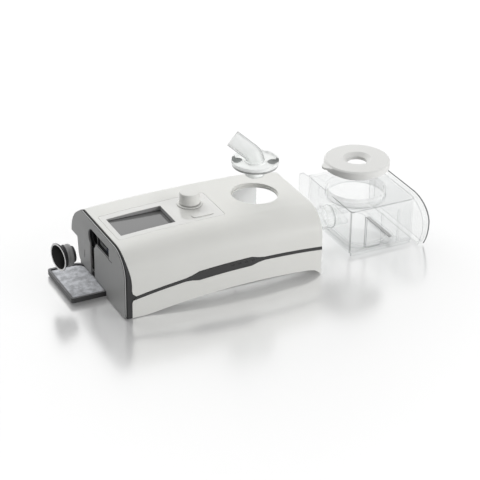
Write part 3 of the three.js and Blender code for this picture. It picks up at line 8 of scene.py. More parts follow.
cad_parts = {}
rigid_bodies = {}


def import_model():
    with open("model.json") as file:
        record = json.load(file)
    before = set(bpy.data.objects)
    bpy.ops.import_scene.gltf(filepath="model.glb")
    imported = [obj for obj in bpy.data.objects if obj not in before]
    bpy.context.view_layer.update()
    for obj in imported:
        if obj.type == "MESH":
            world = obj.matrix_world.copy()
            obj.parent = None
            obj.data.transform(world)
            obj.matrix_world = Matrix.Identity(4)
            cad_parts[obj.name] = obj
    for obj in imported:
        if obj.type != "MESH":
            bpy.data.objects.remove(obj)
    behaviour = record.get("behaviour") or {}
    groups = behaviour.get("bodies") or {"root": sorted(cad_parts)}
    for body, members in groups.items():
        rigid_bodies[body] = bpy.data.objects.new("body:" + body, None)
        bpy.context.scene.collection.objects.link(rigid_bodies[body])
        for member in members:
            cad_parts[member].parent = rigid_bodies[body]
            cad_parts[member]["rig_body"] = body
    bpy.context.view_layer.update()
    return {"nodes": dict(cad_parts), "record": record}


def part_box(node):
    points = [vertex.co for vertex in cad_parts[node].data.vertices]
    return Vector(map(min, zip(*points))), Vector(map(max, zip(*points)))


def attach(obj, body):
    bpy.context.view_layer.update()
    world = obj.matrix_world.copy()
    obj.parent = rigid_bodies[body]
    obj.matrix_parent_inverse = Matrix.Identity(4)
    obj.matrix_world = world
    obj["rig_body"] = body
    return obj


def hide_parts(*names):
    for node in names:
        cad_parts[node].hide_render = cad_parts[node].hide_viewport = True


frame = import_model()

# The machine's own frame, in metres: X from the side panel to the tank, Y to the rear, Z up
ORIGIN = Vector((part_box("side_panel")[0].x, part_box("lower_front_cover")[0].y, 0))
ALONG_X = (1, 0, 0)
ALONG_Y = (0, 1, 0)
ALONG_Z = (0, 0, 1)

# Camera, angles in degrees
CAMERA_PLACE = (-0.70892, -1.70234, 1.11328)
CAMERA_YAW = 26.82
CAMERA_PITCH = 28.57
CAMERA_ROLL = 0.82
LENS = 135
SENSOR = 36
VIEW_REACH = 24

# Light: a soft box behind and above, a weaker one at the front right, pale surroundings
KEY_POWER = 29
KEY_SIZE = 1.4
KEY_PLACE = (0.05, 1.25, 1.2)
FILL_POWER = 20
FILL_SIZE = 1.0
FILL_PLACE = (1.1, -1.1, 0.32)
WORLD_LIGHT = 0.34
WORLD_WHITE = 1.0
WHITE_RAYS = ["Is Camera Ray", "Is Glossy Ray", "Is Transmission Ray"]
AIM = (0.15, 0.08, 0.04)

# Floor: its size, its tones, and the lift towards plain white, which grows with the distance
FLOOR_REACH = 6
FLOOR_DROP = 0.0001
FLOOR_WHITE = 0.96
FLOOR_BOUNCE = 0.6
FLOOR_DULL = 0.9
FLOOR_MIRROR = 0.64
FLOOR_ROUGH = 0.2
FLOOR_LIFT = 0.09
FAR_LIFT = 0.5
LIFT_START = 0.25
LIFT_END = 1.6

# Finishing of edges and curves
MERGE = 0.00001
FLAT_ANGLE = math.radians(0.8)
SMOOTH_ANGLE = math.radians(32)
EDGE_ROUND = 0.0004
EDGE_ROUND_FINE = 0.0002
EDGE_STEPS = 2

# Widths of the black rounded edges of the trim and the panel, painted shade of the gaps beside
# them
TRIM_GAP_SHADE = 0.0005
PANEL_GAP_SHADE = 0.0006

# Clear plastic: the layers that light passes, the width of the grey lines of painted shade at its
# edges, and where a view counts as grazing
CLEAR_LAYERS = 32
CLEAR_ROUGH = 0.08
SHADOW_CLEAR = 0.92
CLEAR_SHADE_WIDTH = 0.0006
CLEAR_GRAIN = 0.08
GRAZING_START = 0.72
GRAZING_END = 0.98
GRAZING_LEAD = 0.2
TUBE_GRAZING = 0.62

# Tank: the bands at its base, rear, front and collar that change the painted shade of its edges,
# and where its collar is painted milky as a highlight
TANK_BASE_HIGH = 0.010
TANK_REAR = 0.012
TANK_FRONT = 0.0036
COLLAR_REACH = 0.048
COLLAR_DEEP = 0.012

# Tank's end plate: the dark line of painted shade round its outer face
RIM_SHADE_WIDTH = 0.0008
RIM_SHADE_LINE = 0.0022

# Card slot: the moulding's inner end, and the blue block in the socket
PORT_BLOCK_BACK = 0.0112
CARD_LOW = 0.0595
BLUE_LENGTH = 0.017

# Elbow's flange: its finger wells and its rim, where shade is painted
SCOOP_REACH = 0.0226
SCOOP_TURN = math.radians(-30)
SCOOP_RADIUS = 0.0086
SCOOP_REAR = 0.0005
RIM_HIGH = 0.0042
RIM_OUT = 0.026

# Hose connector: where the highlights on its lip and its ribs are painted
LIP_DEPTH = 0.0055
RIB_RADIUS = 0.0132

# Filter pad
PAD_VOXEL = 0.0011
PAD_CROWN = 0.0007
PAD_LUMP = 0.00035
PAD_LUMP_SCALE = 140
PAD_SMOOTHING = 3

# Textures: features per metre, depths, and the shares between which tones and gloss vary
GRAIN_SCALE = 2600
GRAIN_DEPTH = 0.00004
SMEAR_SCALE = 28
SMEAR_SPAN = (0.3, 0.7)
TONE_SHARES = (0.97, 1.03)
GLOSS_SHARES = (0.88, 1.12)
COAT_SHARE = 0.6
UNEVEN_SHARES = (0.7, 1.3)
FELT_FINE_SCALE = 900
FELT_BROAD_SCALE = 130
FELT_DEPTH = 0.0004
FELT_SHARES = (0.6, 1.4)
FIBRE_SHARE = 0.4
BLOTCH_SHARE = 0.6
BLOTCH_SPAN = (0.38, 0.62)
BLOOM_SHARES = (0.8, 1.25)
BLOOM_GLOSS_SHARES = (0.76, 1.2)
BRUSHED_SHARES = (0.85, 1.1)
STREAK_SHARES = (0.03, 1, 1)

# A face looks along an axis when its normal's share of that axis is beyond one of these
SQUARE_SHARE = 0.9
LIP_SHARE = 0.8
HALF_SHARE = 0.5
UPRIGHT_SHARE = 0.2
ARCH_FOOT_SHARE = -0.85
ARCH_REAR_SHARE = 0.1

# Colours, linear
SHELL = (0.66, 0.66, 0.635)
LID = (0.66, 0.66, 0.645)
OVERLAY = (0.61, 0.61, 0.588)
PANEL = (0.335, 0.338, 0.335)
BEZEL = (0.36, 0.36, 0.36)
GRIP = (0.36, 0.36, 0.36)
TRIM = (0.026, 0.026, 0.027)
STRIP = (0.026, 0.026, 0.026)
TRAY = (0.04, 0.04, 0.041)
BLACK = (0.010, 0.010, 0.011)
SMOKED = (0.006, 0.006, 0.006)
GLASS = (0.12, 0.12, 0.12)
SLOT_BACK = (0.14, 0.14, 0.145)
SOCKET_GREY = (0.20, 0.20, 0.205)
BLUE = (0.010, 0.018, 0.05)
LINER = (0.9, 0.905, 0.9)
RUBBER = (0.035, 0.035, 0.037)
# Painted highlights on the connector's lip and ribs, and painted shade inside it
LIP_HIGHLIGHT = (0.95, 0.95, 0.95)
RIB_HIGHLIGHT = (0.26, 0.26, 0.26)
INSIDE_SHADE = (0.008, 0.008, 0.008)
SEAL = (0.55, 0.56, 0.55)
FELT = (0.5, 0.51, 0.535)
FOAM = (0.03, 0.03, 0.032)
BOARD = (0.02, 0.12, 0.05)
STEEL = (0.62, 0.63, 0.63)
PLATE = (0.93, 0.93, 0.93)
MILKY = (0.92, 0.93, 0.92)
MILKY_SHADE = (0.5, 0.51, 0.5)
FROSTED = (0.88, 0.89, 0.88)
# Painted shade in the flange's finger wells and under its rim
SCOOP_SHADE_TONE = (0.24, 0.25, 0.245)
RIM_SHADE = (0.32, 0.325, 0.32)
CLEAR_LOOK = (0.996, 0.998, 0.998)
# Grey of the painted shade at the edges of clear plastic, which it also takes at a grazing angle
CLEAR_SHADE = (0.24, 0.25, 0.25)
# Dark grey of the painted shade line round the end plate's outer face
PLATE_RIM_SHADE = (0.10, 0.105, 0.105)
TUBE_GREY = (0.36, 0.37, 0.365)


def at(x, y, z):
    """A point of the machine's own frame, where the parts are."""
    return ORIGIN + Vector((x, y, z))


def box_of(node):
    """The lowest and the highest corner of a node, in the machine's own frame."""
    low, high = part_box(node)
    return low - ORIGIN, high - ORIGIN


def middle_of(node):
    low, high = box_of(node)
    return (low + high) / 2


# Materials, kept under the names of their looks, and the nodes that they are made of

MATERIALS = {}


def material(name, colour, roughness, metallic=0.0):
    """A principled material with its node tree ready for more."""
    mat = bpy.data.materials.new(name)
    MATERIALS[name] = mat
    mat.use_nodes = True
    shader = mat.node_tree.nodes["Principled BSDF"]
    shader.inputs["Base Color"].default_value = (*colour, 1)
    shader.inputs["Roughness"].default_value = roughness
    shader.inputs["Metallic"].default_value = metallic
    return mat.node_tree, shader


def noise_texture(tree, **values):
    """Noise on object coordinates, so that its scale is in features per metre."""
    node = tree.nodes.new("ShaderNodeTexNoise")
    place = tree.nodes.new("ShaderNodeTexCoord")
    tree.links.new(place.outputs["Object"], node.inputs["Vector"])
    for socket, value in values.items():
        node.inputs[socket].default_value = value
    return node.outputs["Fac"]


def ramp(tree, source, low, high, start=0.0, end=1.0):
    """Maps a value from a span to the span between two values."""
    node = tree.nodes.new("ShaderNodeMapRange")
    node.inputs["From Min"].default_value = start
    node.inputs["From Max"].default_value = end
    node.inputs["To Min"].default_value = low
    node.inputs["To Max"].default_value = high
    tree.links.new(source, node.inputs["Value"])
    return node.outputs["Result"]


def combine(tree, operation, first, second):
    """One number made of two others."""
    node = tree.nodes.new("ShaderNodeMath")
    node.operation = operation
    tree.links.new(first, node.inputs[0])
    tree.links.new(second, node.inputs[1])
    return node.outputs["Value"]


def tint(tree, shader, source, dark, light):
    """Varies the base colour between two colours."""
    node = tree.nodes.new("ShaderNodeMix")
    node.data_type = "RGBA"
    node.inputs["A"].default_value = (*dark, 1)
    node.inputs["B"].default_value = (*light, 1)
    tree.links.new(source, node.inputs["Factor"])
    tree.links.new(node.outputs["Result"], shader.inputs["Base Color"])


def shade(colour, share):
    return tuple(channel * share for channel in colour)


def mottle(tree, shader, source, colour, shares):
    """Varies the base colour between two shares of a colour."""
    dark, light = shares
    tint(tree, shader, source, shade(colour, dark), shade(colour, light))


def vary_gloss(tree, shader, source, roughness, shares, span=(0.0, 1.0)):
    """Varies the roughness between two shares of it."""
    smooth_share, rough_share = shares
    varied = ramp(tree, source, roughness * smooth_share, roughness * rough_share, *span)
    tree.links.new(varied, shader.inputs["Roughness"])


def bump(tree, shader, source, strength, distance):
    """Raises the surface by a texture."""
    node = tree.nodes.new("ShaderNodeBump")
    node.inputs["Strength"].default_value = strength
    node.inputs["Distance"].default_value = distance
    tree.links.new(source, node.inputs["Height"])
    tree.links.new(node.outputs["Normal"], shader.inputs["Normal"])


def glossy(tree, roughness):
    node = tree.nodes.new("ShaderNodeBsdfGlossy")
    node.inputs["Roughness"].default_value = roughness
    return node.outputs["BSDF"]


def layered(tree, first, second):
    """Two shaders with the second over the first, and the socket that says how much."""
    node = tree.nodes.new("ShaderNodeMixShader")
    tree.links.new(first, node.inputs[1])
    tree.links.new(second, node.inputs[2])
    return node.outputs["Shader"], node.inputs["Fac"]


def show(tree, surface):
    tree.links.new(surface, tree.nodes["Material Output"].inputs["Surface"])


# Kinds of material


def moulded(name, colour, roughness, grain=0.12, coat=0.0):
    """Injection-moulded plastic: spark-eroded grain, faint tone and gloss changes."""
    tree, shader = material(name, colour, roughness)
    fine = noise_texture(tree, Scale=GRAIN_SCALE, Detail=2.0, Roughness=0.6)
    broad = noise_texture(tree, Scale=SMEAR_SCALE, Detail=3.0, Roughness=0.5)
    mottle(tree, shader, broad, colour, TONE_SHARES)
    vary_gloss(tree, shader, broad, roughness, GLOSS_SHARES, SMEAR_SPAN)
    bump(tree, shader, fine, grain, GRAIN_DEPTH)
    shader.inputs["Coat Weight"].default_value = coat
    shader.inputs["Coat Roughness"].default_value = roughness * COAT_SHARE
    return shader


def lacquered(name, colour, roughness, grain, ior, coat_roughness):
    """Moulded plastic under a clear lacquer that mirrors what stands on it."""
    shader = moulded(name, colour, roughness, grain, 1.0)
    shader.inputs["Coat IOR"].default_value = ior
    shader.inputs["Coat Roughness"].default_value = coat_roughness


def clear_plastic(
    name, colour, cover_flat, cover_edge, roughness=CLEAR_ROUGH, shine=0.05, grazing=None,
    start=GRAZING_START,
):
    """Clear plastic: see-through face on, milky or grey where it is seen at a grazing angle.

    The two covers say how much of its own colour it shows face on and at a grazing angle.
    """
    tree, shader = material(name, colour, roughness)
    shader.inputs["Specular IOR Level"].default_value = 0
    broad = noise_texture(tree, Scale=SMEAR_SCALE, Detail=1.0)
    fine = noise_texture(tree, Scale=GRAIN_SCALE, Detail=2.0)
    vary_gloss(tree, shader, broad, roughness, UNEVEN_SHARES)
    bump(tree, shader, fine, CLEAR_GRAIN, GRAIN_DEPTH)
    facing = tree.nodes.new("ShaderNodeLayerWeight").outputs["Facing"]
    if grazing:
        turned = ramp(tree, facing, 0.0, 1.0, start - GRAZING_LEAD, start)
        tint(tree, shader, turned, colour, grazing)
    clear = tree.nodes.new("ShaderNodeBsdfTransparent")
    clear.inputs["Color"].default_value = (*CLEAR_LOOK, 1)
    faces, face_share = layered(tree, clear.outputs["BSDF"], glossy(tree, roughness))
    face_share.default_value = shine
    covered, cover_share = layered(tree, faces, shader.outputs["BSDF"])
    tree.links.new(ramp(tree, facing, cover_flat, cover_edge, start, GRAZING_END), cover_share)
    shadow_ray = tree.nodes.new("ShaderNodeLightPath").outputs["Is Shadow Ray"]
    surface, shadow_share = layered(tree, covered, clear.outputs["BSDF"])
    tree.links.new(ramp(tree, shadow_ray, 0.0, SHADOW_CLEAR), shadow_share)
    show(tree, surface)


def felt(name, colour):
    """Pressed filter felt: fibres over soft blotches."""
    tree, shader = material(name, colour, 0.95)
    fine = noise_texture(tree, Scale=FELT_FINE_SCALE, Detail=5.0, Roughness=0.7)
    broad = noise_texture(tree, Scale=FELT_BROAD_SCALE, Detail=3.0, Roughness=0.6)
    fibres = ramp(tree, fine, 0.0, FIBRE_SHARE)
    blotches = ramp(tree, broad, 0.0, BLOTCH_SHARE, *BLOTCH_SPAN)
    mottle(tree, shader, combine(tree, "ADD", fibres, blotches), colour, FELT_SHARES)
    bump(tree, shader, fine, 0.7, FELT_DEPTH)
    shader.inputs["Sheen Weight"].default_value = 0.3


def rubber(name, colour, shine=0.5, roughness=0.5):
    """Dull rubber with a dusty bloom."""
    tree, shader = material(name, colour, roughness)
    shader.inputs["Specular IOR Level"].default_value = shine
    fine = noise_texture(tree, Scale=GRAIN_SCALE, Detail=3.0)
    broad = noise_texture(tree, Scale=FELT_BROAD_SCALE, Detail=4.0)
    mottle(tree, shader, broad, colour, BLOOM_SHARES)
    vary_gloss(tree, shader, broad, roughness, BLOOM_GLOSS_SHARES)
    bump(tree, shader, fine, 0.25, GRAIN_DEPTH)


def brushed(name, colour, roughness):
    """Brushed metal with streaks along X."""
    tree, shader = material(name, colour, roughness, 1.0)
    streak = tree.nodes.new("ShaderNodeMapping")
    streak.inputs["Scale"].default_value = STREAK_SHARES
    place = tree.nodes.new("ShaderNodeTexCoord")
    streaks = tree.nodes.new("ShaderNodeTexNoise")
    streaks.inputs["Scale"].default_value = GRAIN_SCALE
    tree.links.new(place.outputs["Object"], streak.inputs["Vector"])
    tree.links.new(streak.outputs["Vector"], streaks.inputs["Vector"])
    mottle(tree, shader, streaks.outputs["Fac"], colour, BRUSHED_SHARES)
    vary_gloss(tree, shader, streaks.outputs["Fac"], roughness, UNEVEN_SHARES)
    bump(tree, shader, streaks.outputs["Fac"], 0.1, GRAIN_DEPTH)


# What the pieces are made of

moulded("shell_white", SHELL, 0.34, coat=0.15)
moulded("knob_white", SHELL, 0.3, 0.06, 0.3)
moulded("lid_white", LID, 0.36, 0.1, 0.1)
moulded("panel_grey", PANEL, 0.42, 0.2)
moulded("bezel_grey", BEZEL, 0.5, 0.2)
moulded("grip_grey", GRIP, 0.5, 0.2)
moulded("trim_grey", TRIM, 0.36, 0.15)
moulded("strip_grey", STRIP, 0.25, 0.05, 0.3)
moulded("tray_grey", TRAY, 0.36, 0.15)
moulded("black_plastic", BLACK, 0.4, 0.2)
moulded("slot_back", SLOT_BACK, 0.5, 0.2)
moulded("socket_grey", SOCKET_GREY, 0.35)
moulded("socket_blue", BLUE, 0.35)
moulded("liner_grey", LINER, 0.5)
moulded("circuit_board", BOARD, 0.45)
# Painted shade for the flange's finger wells and rim
moulded("scoop_shade", SCOOP_SHADE_TONE, 0.4)
moulded("rim_shade", RIM_SHADE, 0.4)
lacquered("overlay_white", OVERLAY, 0.3, 0.03, 2.4, 0.02)
lacquered("screen_glass", GLASS, 0.12, 0.0, 1.5, 0.02)
lacquered("lamp", SMOKED, 0.2, 0.0, 1.5, 0.05)
brushed("steel", STEEL, 0.3)
brushed("aluminium", STEEL, 0.38)
rubber("rubber", RUBBER, 0.25)
# Painted highlights on the connector's lip and ribs, and painted shade inside it
rubber("rubber_lip_highlight", LIP_HIGHLIGHT)
rubber("rubber_rib_highlight", RIB_HIGHLIGHT)
rubber("rubber_inside_shade", INSIDE_SHADE, 0.25)
rubber("seal_pale", SEAL)
felt("filter_felt", FELT)
felt("foam", FOAM)
clear_plastic("clear_plastic", MILKY, 0.05, 0.45, grazing=CLEAR_SHADE)
# Painted shade: grey lines for the edges and a corner of clear plastic, in place of the dark that
# such edges refract
clear_plastic("clear_edge_shade", CLEAR_SHADE, 0.7, 0.85)
clear_plastic("clear_faint_shade", CLEAR_SHADE, 0.12, 0.3)
clear_plastic("clear_corner_shade", CLEAR_SHADE, 0.3, 0.5)
clear_plastic("clear_rim_shade", PLATE_RIM_SHADE, 0.85, 0.95)
clear_plastic("rim_line_shade", CLEAR_SHADE, 0.7, 0.9)
clear_plastic("plate_bright", PLATE, 0.35, 0.6, 0.3, 0.15)
# Milky plastic, also used as a painted highlight on the tank's collar
clear_plastic("milky_and_highlight", MILKY, 0.22, 0.8, 0.2, 0.1)
clear_plastic("milky_edge_shade", CLEAR_SHADE, 0.18, 0.4)
clear_plastic("tube_clear", MILKY, 0.28, 0.95, 0.2, 0.1, TUBE_GREY, TUBE_GRAZING)
clear_plastic("tube_edge_shade", CLEAR_SHADE, 0.5, 0.75)
clear_plastic("frosted", FROSTED, 0.8, 0.95, 0.3, 0.1, MILKY_SHADE)

SLOT_OF = {entry["node"]: entry["material_slot"] for entry in frame["record"]["subparts"]}
dressed = set()


# Pieces


def link(name, mesh):
    obj = bpy.data.objects.new(name, mesh)
    bpy.context.scene.collection.objects.link(obj)
    return obj


def settle(obj):
    """Applies the modifiers of an object to its mesh."""
    graph = bpy.context.evaluated_depsgraph_get()
    graph.update()
    mesh = bpy.data.meshes.new_from_object(obj.evaluated_get(graph))
    obj.modifiers.clear()
    obj.data = mesh


def smooth(obj, angle=SMOOTH_ANGLE):
    mesh = obj.data
    mesh.polygons.foreach_set("use_smooth", [True] * len(mesh.polygons))
    mesh.set_sharp_from_angle(angle=angle)


def mark_edges(work, spared):
    """Marks the edges to round: the sharp ones, but for inner corners in a spared place."""
    weights = work.edges.layers.float.new("bevel_weight_edge")
    for edge in work.edges:
        if len(edge.link_faces) != 2 or edge.calc_face_angle() < SMOOTH_ANGLE:
            continue
        middle = (edge.verts[0].co + edge.verts[1].co) / 2 - ORIGIN
        if edge.is_convex or not spared or not spared(middle):
            edge[weights] = 1


def round_edges(obj, width, look, free):
    """Rounds the marked edges; the roundings may take a material of their own."""
    bevel = obj.modifiers.new("edges", "BEVEL")
    bevel.width = width
    bevel.segments = EDGE_STEPS
    bevel.limit_method = "WEIGHT"
    bevel.use_clamp_overlap = not free
    bevel.harden_normals = False
    bevel.material = look
    settle(obj)


def copy_of(node, slices, spared):
    """A copy of a node's mesh, with its flat faces in one piece each but for the slices."""
    obj = link(node + "_skin", frame["nodes"][node].data.copy())
    work = bmesh.new()
    work.from_mesh(obj.data)
    bmesh.ops.remove_doubles(work, verts=work.verts, dist=MERGE)
    bmesh.ops.dissolve_limit(work, angle_limit=FLAT_ANGLE, verts=work.verts, edges=work.edges)
    for across, distance in slices:
        everything = work.verts[:] + work.edges[:] + work.faces[:]
        place = ORIGIN + Vector(across) * distance
        bmesh.ops.bisect_plane(work, geom=everything, plane_co=place, plane_no=across)
    mark_edges(work, spared)
    work.to_mesh(obj.data)
    work.free()
    obj.data.materials.clear()
    return obj


def repaint(mesh, looks, paint, only=None):
    """Gives faces the look that a paint function names, all of them or those of one look."""
    for face in mesh.polygons:
        if only is None or face.material_index == only:
            face.material_index = looks.index(paint(face.center - ORIGIN, face.normal))


def stand_in(obj, node):
    """Puts a piece in a node's stead, on its body."""
    dressed.add(node)
    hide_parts(node)
    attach(obj, frame["nodes"][node]["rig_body"])


def skin(
    node, looks=None, width=EDGE_ROUND_FINE, edges=None, paint=None, edge_paint=None, free=False,
    slices=(), spared=None,
):
    """A finished copy of a node, with its edges rounded and its curves shaded smooth."""
    looks = looks or [SLOT_OF[node]]
    edge_look = looks.index(edges) if edges else -1
    obj = copy_of(node, slices, spared)
    for look in looks:
        obj.data.materials.append(MATERIALS[look])
    if paint:
        repaint(obj.data, looks, paint)
    smooth(obj)
    round_edges(obj, width, edge_look, free)
    if edge_paint:
        repaint(obj.data, looks, edge_paint, edge_look)
    smooth(obj)
    weighted = obj.modifiers.new("flats", "WEIGHTED_NORMAL")
    weighted.keep_sharp = True
    settle(obj)
    stand_in(obj, node)


# Pieces of one look; those of the first list have their slot's own material

for node_name in [
    "top_housing", "lower_front_cover", "front_strip", "base_tub", "bay_liner", "bay_air_port",
    "display_lens", "power_inlet", "heater_plate", "indicator_lenses",
]:
    skin(node_name)

for node_name, look_name in {
    "control_overlay": "overlay_white",
    "power_button": "overlay_white",
    "dial_cap": "knob_white",
    "dial_skirt": "knob_white",
    "display_bezel": "bezel_grey",
    "tank_lid": "lid_white",
    "tank_base_plate": "plate_bright",
    "tank_plate_grip": "grip_grey",
    "elbow_seal": "seal_pale",
    "tank_lid_seal": "seal_pale",
}.items():
    skin(node_name, [look_name])


# The trim's rounded edges are painted black as the shade of the two gaps it lies between, and the
# panel's outer rounded edge is painted black as the shade of its gap

panel_middle = middle_of("side_panel")


def panel_gap_shade_paint(spot, normal):
    out = spot - panel_middle
    outward = normal.y * out.y + normal.z * out.z > 0
    return "black_plastic" if outward and abs(normal.x) < SQUARE_SHARE else "panel_grey"


skin("edge_trim", ["trim_grey", "black_plastic"], TRIM_GAP_SHADE, "black_plastic", free=True)
skin(
    "side_panel", ["panel_grey", "black_plastic"], PANEL_GAP_SHADE, "black_plastic",
    edge_paint=panel_gap_shade_paint, free=True,
)


# Tank: grey lines of painted shade at its edges and its front left corner, fainter at the base
# and the rear, and its collar painted milky white as a painted highlight

tank_low, tank_high = box_of("tank_body")
tank_middle = middle_of("tank_body")
collar_middle = middle_of("tank_lid_seal")


def near_collar(spot):
    return (spot - collar_middle).xy.length < COLLAR_REACH


def on_collar(spot):
    return near_collar(spot) and spot.z > tank_high.z - COLLAR_DEEP


def tank_shade_and_highlight_paint(spot, normal):
    if on_collar(spot) and abs(normal.z) < HALF_SHARE:
        return "milky_and_highlight"
    front_left = spot.x < tank_middle.x and spot.y < tank_middle.y
    corner = abs(normal.z) < UPRIGHT_SHARE and abs(normal.x) > abs(normal.y) > HALF_SHARE
    return "clear_corner_shade" if corner and front_left and not near_collar(spot) else "clear_plastic"


def tank_edge_shade_paint(spot, normal):
    inside = tank_low.y + TANK_FRONT < spot.y and tank_low.x + TANK_FRONT < spot.x
    base = spot.z < TANK_BASE_HIGH and inside
    rear = spot.y > tank_high.y - TANK_REAR and spot.z < tank_middle.z
    far_side = spot.y > tank_middle.y or spot.x > tank_middle.x
    upright = abs(normal.z) < HALF_SHARE and far_side
    return "clear_faint_shade" if on_collar(spot) or base or rear or upright else "clear_edge_shade"


skin(
    "tank_body", ["clear_plastic", "clear_edge_shade", "clear_faint_shade", "clear_corner_shade", "milky_and_highlight"],
    CLEAR_SHADE_WIDTH, "clear_edge_shade", tank_shade_and_highlight_paint, tank_edge_shade_paint, free=True, spared=near_collar,
)
# The air inlet is milky, with grey lines of painted shade at its edges
skin("tank_air_inlet", ["milky_and_highlight", "milky_edge_shade"], CLEAR_SHADE_WIDTH, "milky_edge_shade")


# End plate: a dark line of painted shade round the outer face of its arch, and a milky band
# behind it

shade_line_start = box_of("tank_end_plate")[1].x - RIM_SHADE_LINE


def on_arch(normal):
    return normal.z > ARCH_FOOT_SHARE and normal.y < ARCH_REAR_SHARE


def plate_shade_paint(spot, normal):
    if abs(normal.x) > HALF_SHARE or not on_arch(normal):
        return "clear_plastic"
    return "clear_rim_shade" if spot.x > shade_line_start else "milky_and_highlight"


def plate_edge_shade_paint(spot, normal):
    if not on_arch(normal):
        return "clear_faint_shade"
    return "clear_rim_shade" if spot.x > shade_line_start else "rim_line_shade"


skin(
    "tank_end_plate", ["clear_plastic", "clear_faint_shade", "clear_rim_shade", "milky_and_highlight", "rim_line_shade"],
    RIM_SHADE_WIDTH, "clear_faint_shade", plate_shade_paint, plate_edge_shade_paint, slices=[(ALONG_X, shade_line_start)],
)


# The elbow's tube has grey lines of painted shade at its edges

skin("elbow_tube", ["tube_clear", "tube_edge_shade"], EDGE_ROUND, "tube_edge_shade")


# The top of the tray's rim is painted lighter than its walls, a painted highlight

tray_top = box_of("filter_tray")[1].z


def tray_rim_highlight_paint(spot, normal):
    on_rim = normal.z > SQUARE_SHARE and spot.z > tray_top - EDGE_ROUND
    return "slot_back" if on_rim else "tray_grey"


skin("filter_tray", ["tray_grey", "slot_back"], EDGE_ROUND, paint=tray_rim_highlight_paint)


# The card slot's inner end is a lighter grey than the rest of its moulding


def port_block_paint(spot, normal):
    inner_end = normal.x < -SQUARE_SHARE and spot.x > PORT_BLOCK_BACK - EDGE_ROUND
    return "slot_back" if inner_end and spot.z > CARD_LOW else "black_plastic"


skin("side_port_block", ["black_plastic", "slot_back"], paint=port_block_paint)


# The card socket is grey, with a blue block in its lower front corner

blue_rear = box_of("card_socket")[0].y + BLUE_LENGTH
blue_high = middle_of("card_socket").z


def socket_paint(spot, normal):
    return "socket_blue" if spot.y < blue_rear and spot.z < blue_high else "socket_grey"


skin(
    "card_socket", ["socket_blue", "socket_grey"], paint=socket_paint,
    slices=[(ALONG_Y, blue_rear), (ALONG_Z, blue_high)],
)


# The elbow's flange is frosted; painted shade darkens the rear of its finger wells and the lower
# part of its rim

flange_middle = middle_of("elbow_flange")
flange_top = box_of("elbow_flange")[1].z


def flange_shade_paint(spot, normal):
    out = (spot - flange_middle).xy
    across = Vector((math.cos(SCOOP_TURN), math.sin(SCOOP_TURN))) * SCOOP_REACH
    for well in [across, -across]:
        from_well = out - well
        inside = from_well.length < SCOOP_RADIUS and spot.z > flange_top - SCOOP_RADIUS
        if inside and from_well.dot(normal.xy) < 0 and from_well.y > -SCOOP_REAR:
            return "scoop_shade"
    outer = out.length > RIM_OUT and out.dot(normal.xy) > 0
    return "rim_shade" if outer and spot.z < flange_top - RIM_HIGH else "frosted"


skin(
    "elbow_flange", ["frosted", "scoop_shade", "rim_shade"], EDGE_ROUND, paint=flange_shade_paint,
    slices=[(ALONG_Z, flange_top - RIM_HIGH)],
)


# The rubber connector has painted highlights on its pale lip and greyer ribs, and painted shade
# on its black inside

mouth = box_of("hose_connector")[0].x
connector_middle = middle_of("hose_connector")


def connector_light_paint(spot, normal):
    out = spot - connector_middle
    out.x = 0
    if normal.x < -LIP_SHARE and spot.x < mouth + LIP_DEPTH:
        return "rubber_lip_highlight"
    if normal.dot(out) < 0:
        return "rubber_inside_shade"
    on_ribs = out.length > RIB_RADIUS and spot.x > connector_middle.x
    return "rubber_rib_highlight" if on_ribs else "rubber"


skin(
    "hose_connector", ["rubber", "rubber_lip_highlight", "rubber_rib_highlight", "rubber_inside_shade"],
    paint=connector_light_paint,
)


# The filter pad


def filter_pad():
    """A slightly crowned and lumpy sheet of pressed fibre."""
    obj = link("filter_pad_felt", frame["nodes"]["filter_pad"].data.copy())
    obj.data.materials.clear()
    low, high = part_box("filter_pad")
    middle = (low + high) / 2
    half = (high - low) / 2
    remesh = obj.modifiers.new("cells", "REMESH")
    remesh.mode = "VOXEL"
    remesh.voxel_size = PAD_VOXEL
    settle(obj)
    for vertex in obj.data.vertices:
        along = (vertex.co.x - middle.x) / half.x
        across = (vertex.co.y - middle.y) / half.y
        crown = max(0, 1 - along ** 2) * max(0, 1 - across ** 2)
        lump = noise.noise(vertex.co * PAD_LUMP_SCALE) * PAD_LUMP
        if vertex.co.z > middle.z:
            vertex.co.z += PAD_CROWN * crown ** 0.5 + lump - PAD_LUMP
    smooth(obj, math.pi)
    relax = obj.modifiers.new("soft", "SMOOTH")
    relax.iterations = PAD_SMOOTHING
    settle(obj)
    obj.data.materials.append(MATERIALS["filter_felt"])
    stand_in(obj, "filter_pad")


filter_pad()


# The other pieces, inside and underneath, keep their own mesh

for node_name, node in frame["nodes"].items():
    if node_name not in dressed:
        node.data.materials.clear()
        node.data.materials.append(MATERIALS[SLOT_OF[node_name]])


# Floor, light and camera


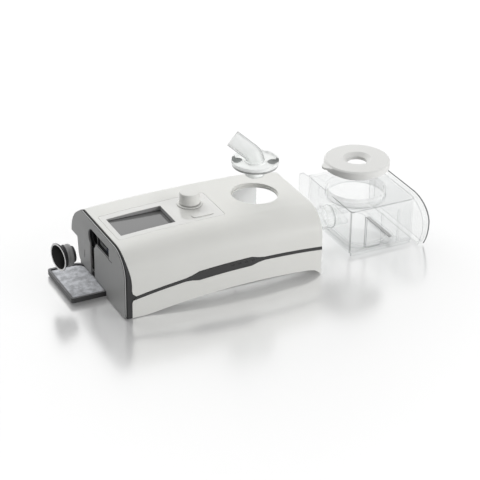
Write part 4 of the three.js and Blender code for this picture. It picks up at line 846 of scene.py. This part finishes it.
def floor():
    """White floor with a soft reflection, which turns to plain white far from the machine."""
    mesh = bpy.data.meshes.new("floor")
    corners = [(-1, -1), (1, -1), (1, 1), (-1, 1)]
    mesh.from_pydata(
        [(x * FLOOR_REACH, y * FLOOR_REACH, -FLOOR_DROP) for x, y in corners], [], [(0, 1, 2, 3)],
    )
    obj = link("floor", mesh)
    tree, shader = material("floor_white", (FLOOR_WHITE,) * 3, FLOOR_DULL)
    shader.inputs["Specular IOR Level"].default_value = 0
    camera_ray = tree.nodes.new("ShaderNodeLightPath").outputs["Is Camera Ray"]
    tint(tree, shader, camera_ray, (FLOOR_BOUNCE,) * 3, (FLOOR_WHITE,) * 3)
    mirrored, mirror_share = layered(tree, shader.outputs["BSDF"], glossy(tree, FLOOR_ROUGH))
    mirror_share.default_value = FLOOR_MIRROR
    spot = tree.nodes.new("ShaderNodeTexCoord")
    away = tree.nodes.new("ShaderNodeVectorMath")
    away.operation = "LENGTH"
    tree.links.new(spot.outputs["Object"], away.inputs[0])
    growing = ramp(tree, away.outputs["Value"], FLOOR_LIFT, FAR_LIFT, LIFT_START, LIFT_END)
    lift = tree.nodes.new("ShaderNodeEmission")
    tree.links.new(combine(tree, "MULTIPLY", growing, camera_ray), lift.inputs["Strength"])
    lifted = tree.nodes.new("ShaderNodeAddShader")
    tree.links.new(mirrored, lifted.inputs[0])
    tree.links.new(lift.outputs["Emission"], lifted.inputs[1])
    show(tree, lifted.outputs["Shader"])
    mesh.materials.append(MATERIALS["floor_white"])


def surroundings():
    """Even pale surroundings, which the camera, glass and gloss see as white."""
    world = bpy.data.worlds.new("studio")
    bpy.context.scene.world = world
    world.use_nodes = True
    tree = world.node_tree
    light = tree.nodes["Background"]
    light.inputs["Color"].default_value = (1, 1, 1, 1)
    path = tree.nodes.new("ShaderNodeLightPath")
    white = path.outputs[WHITE_RAYS[0]]
    for ray in WHITE_RAYS[1:]:
        white = combine(tree, "MAXIMUM", white, path.outputs[ray])
    tree.links.new(ramp(tree, white, WORLD_LIGHT, WORLD_WHITE), light.inputs["Strength"])


def soft_light(name, spot, power, size):
    data = bpy.data.lights.new(name, "AREA")
    data.energy = power
    data.size = size
    obj = bpy.data.objects.new(name, data)
    bpy.context.scene.collection.objects.link(obj)
    obj.visible_glossy = False
    obj.location = at(*spot)
    obj.rotation_euler = (at(*AIM) - obj.location).to_track_quat("-Z", "Y").to_euler()


def camera():
    """The photograph's own view, fitted to the edges of the housing."""
    yaw = math.radians(CAMERA_YAW)
    pitch = math.radians(CAMERA_PITCH)
    roll = math.radians(CAMERA_ROLL)
    level = Vector((math.sin(yaw), math.cos(yaw), 0)) * math.cos(pitch)
    forward = level - Vector((0, 0, math.sin(pitch)))
    right = Vector((math.cos(yaw), -math.sin(yaw), 0))
    up = right.cross(forward)
    turned_right = right * math.cos(roll) + up * math.sin(roll)
    turned_up = up * math.cos(roll) - right * math.sin(roll)
    data = bpy.data.cameras.new("camera")
    data.lens = LENS
    data.sensor_width = SENSOR
    data.clip_end = VIEW_REACH
    obj = bpy.data.objects.new("camera", data)
    bpy.context.scene.collection.objects.link(obj)
    turn = Matrix((turned_right, turned_up, -forward)).transposed()
    obj.matrix_world = Matrix.Translation(at(*CAMERA_PLACE)) @ turn.to_4x4()
    bpy.context.scene.camera = obj


floor()
surroundings()
soft_light("key", KEY_PLACE, KEY_POWER, KEY_SIZE)
soft_light("fill", FILL_PLACE, FILL_POWER, FILL_SIZE)
camera()
bpy.context.scene.view_settings.view_transform = "Standard"
bpy.context.scene.cycles.transparent_max_bounces = CLEAR_LAYERS
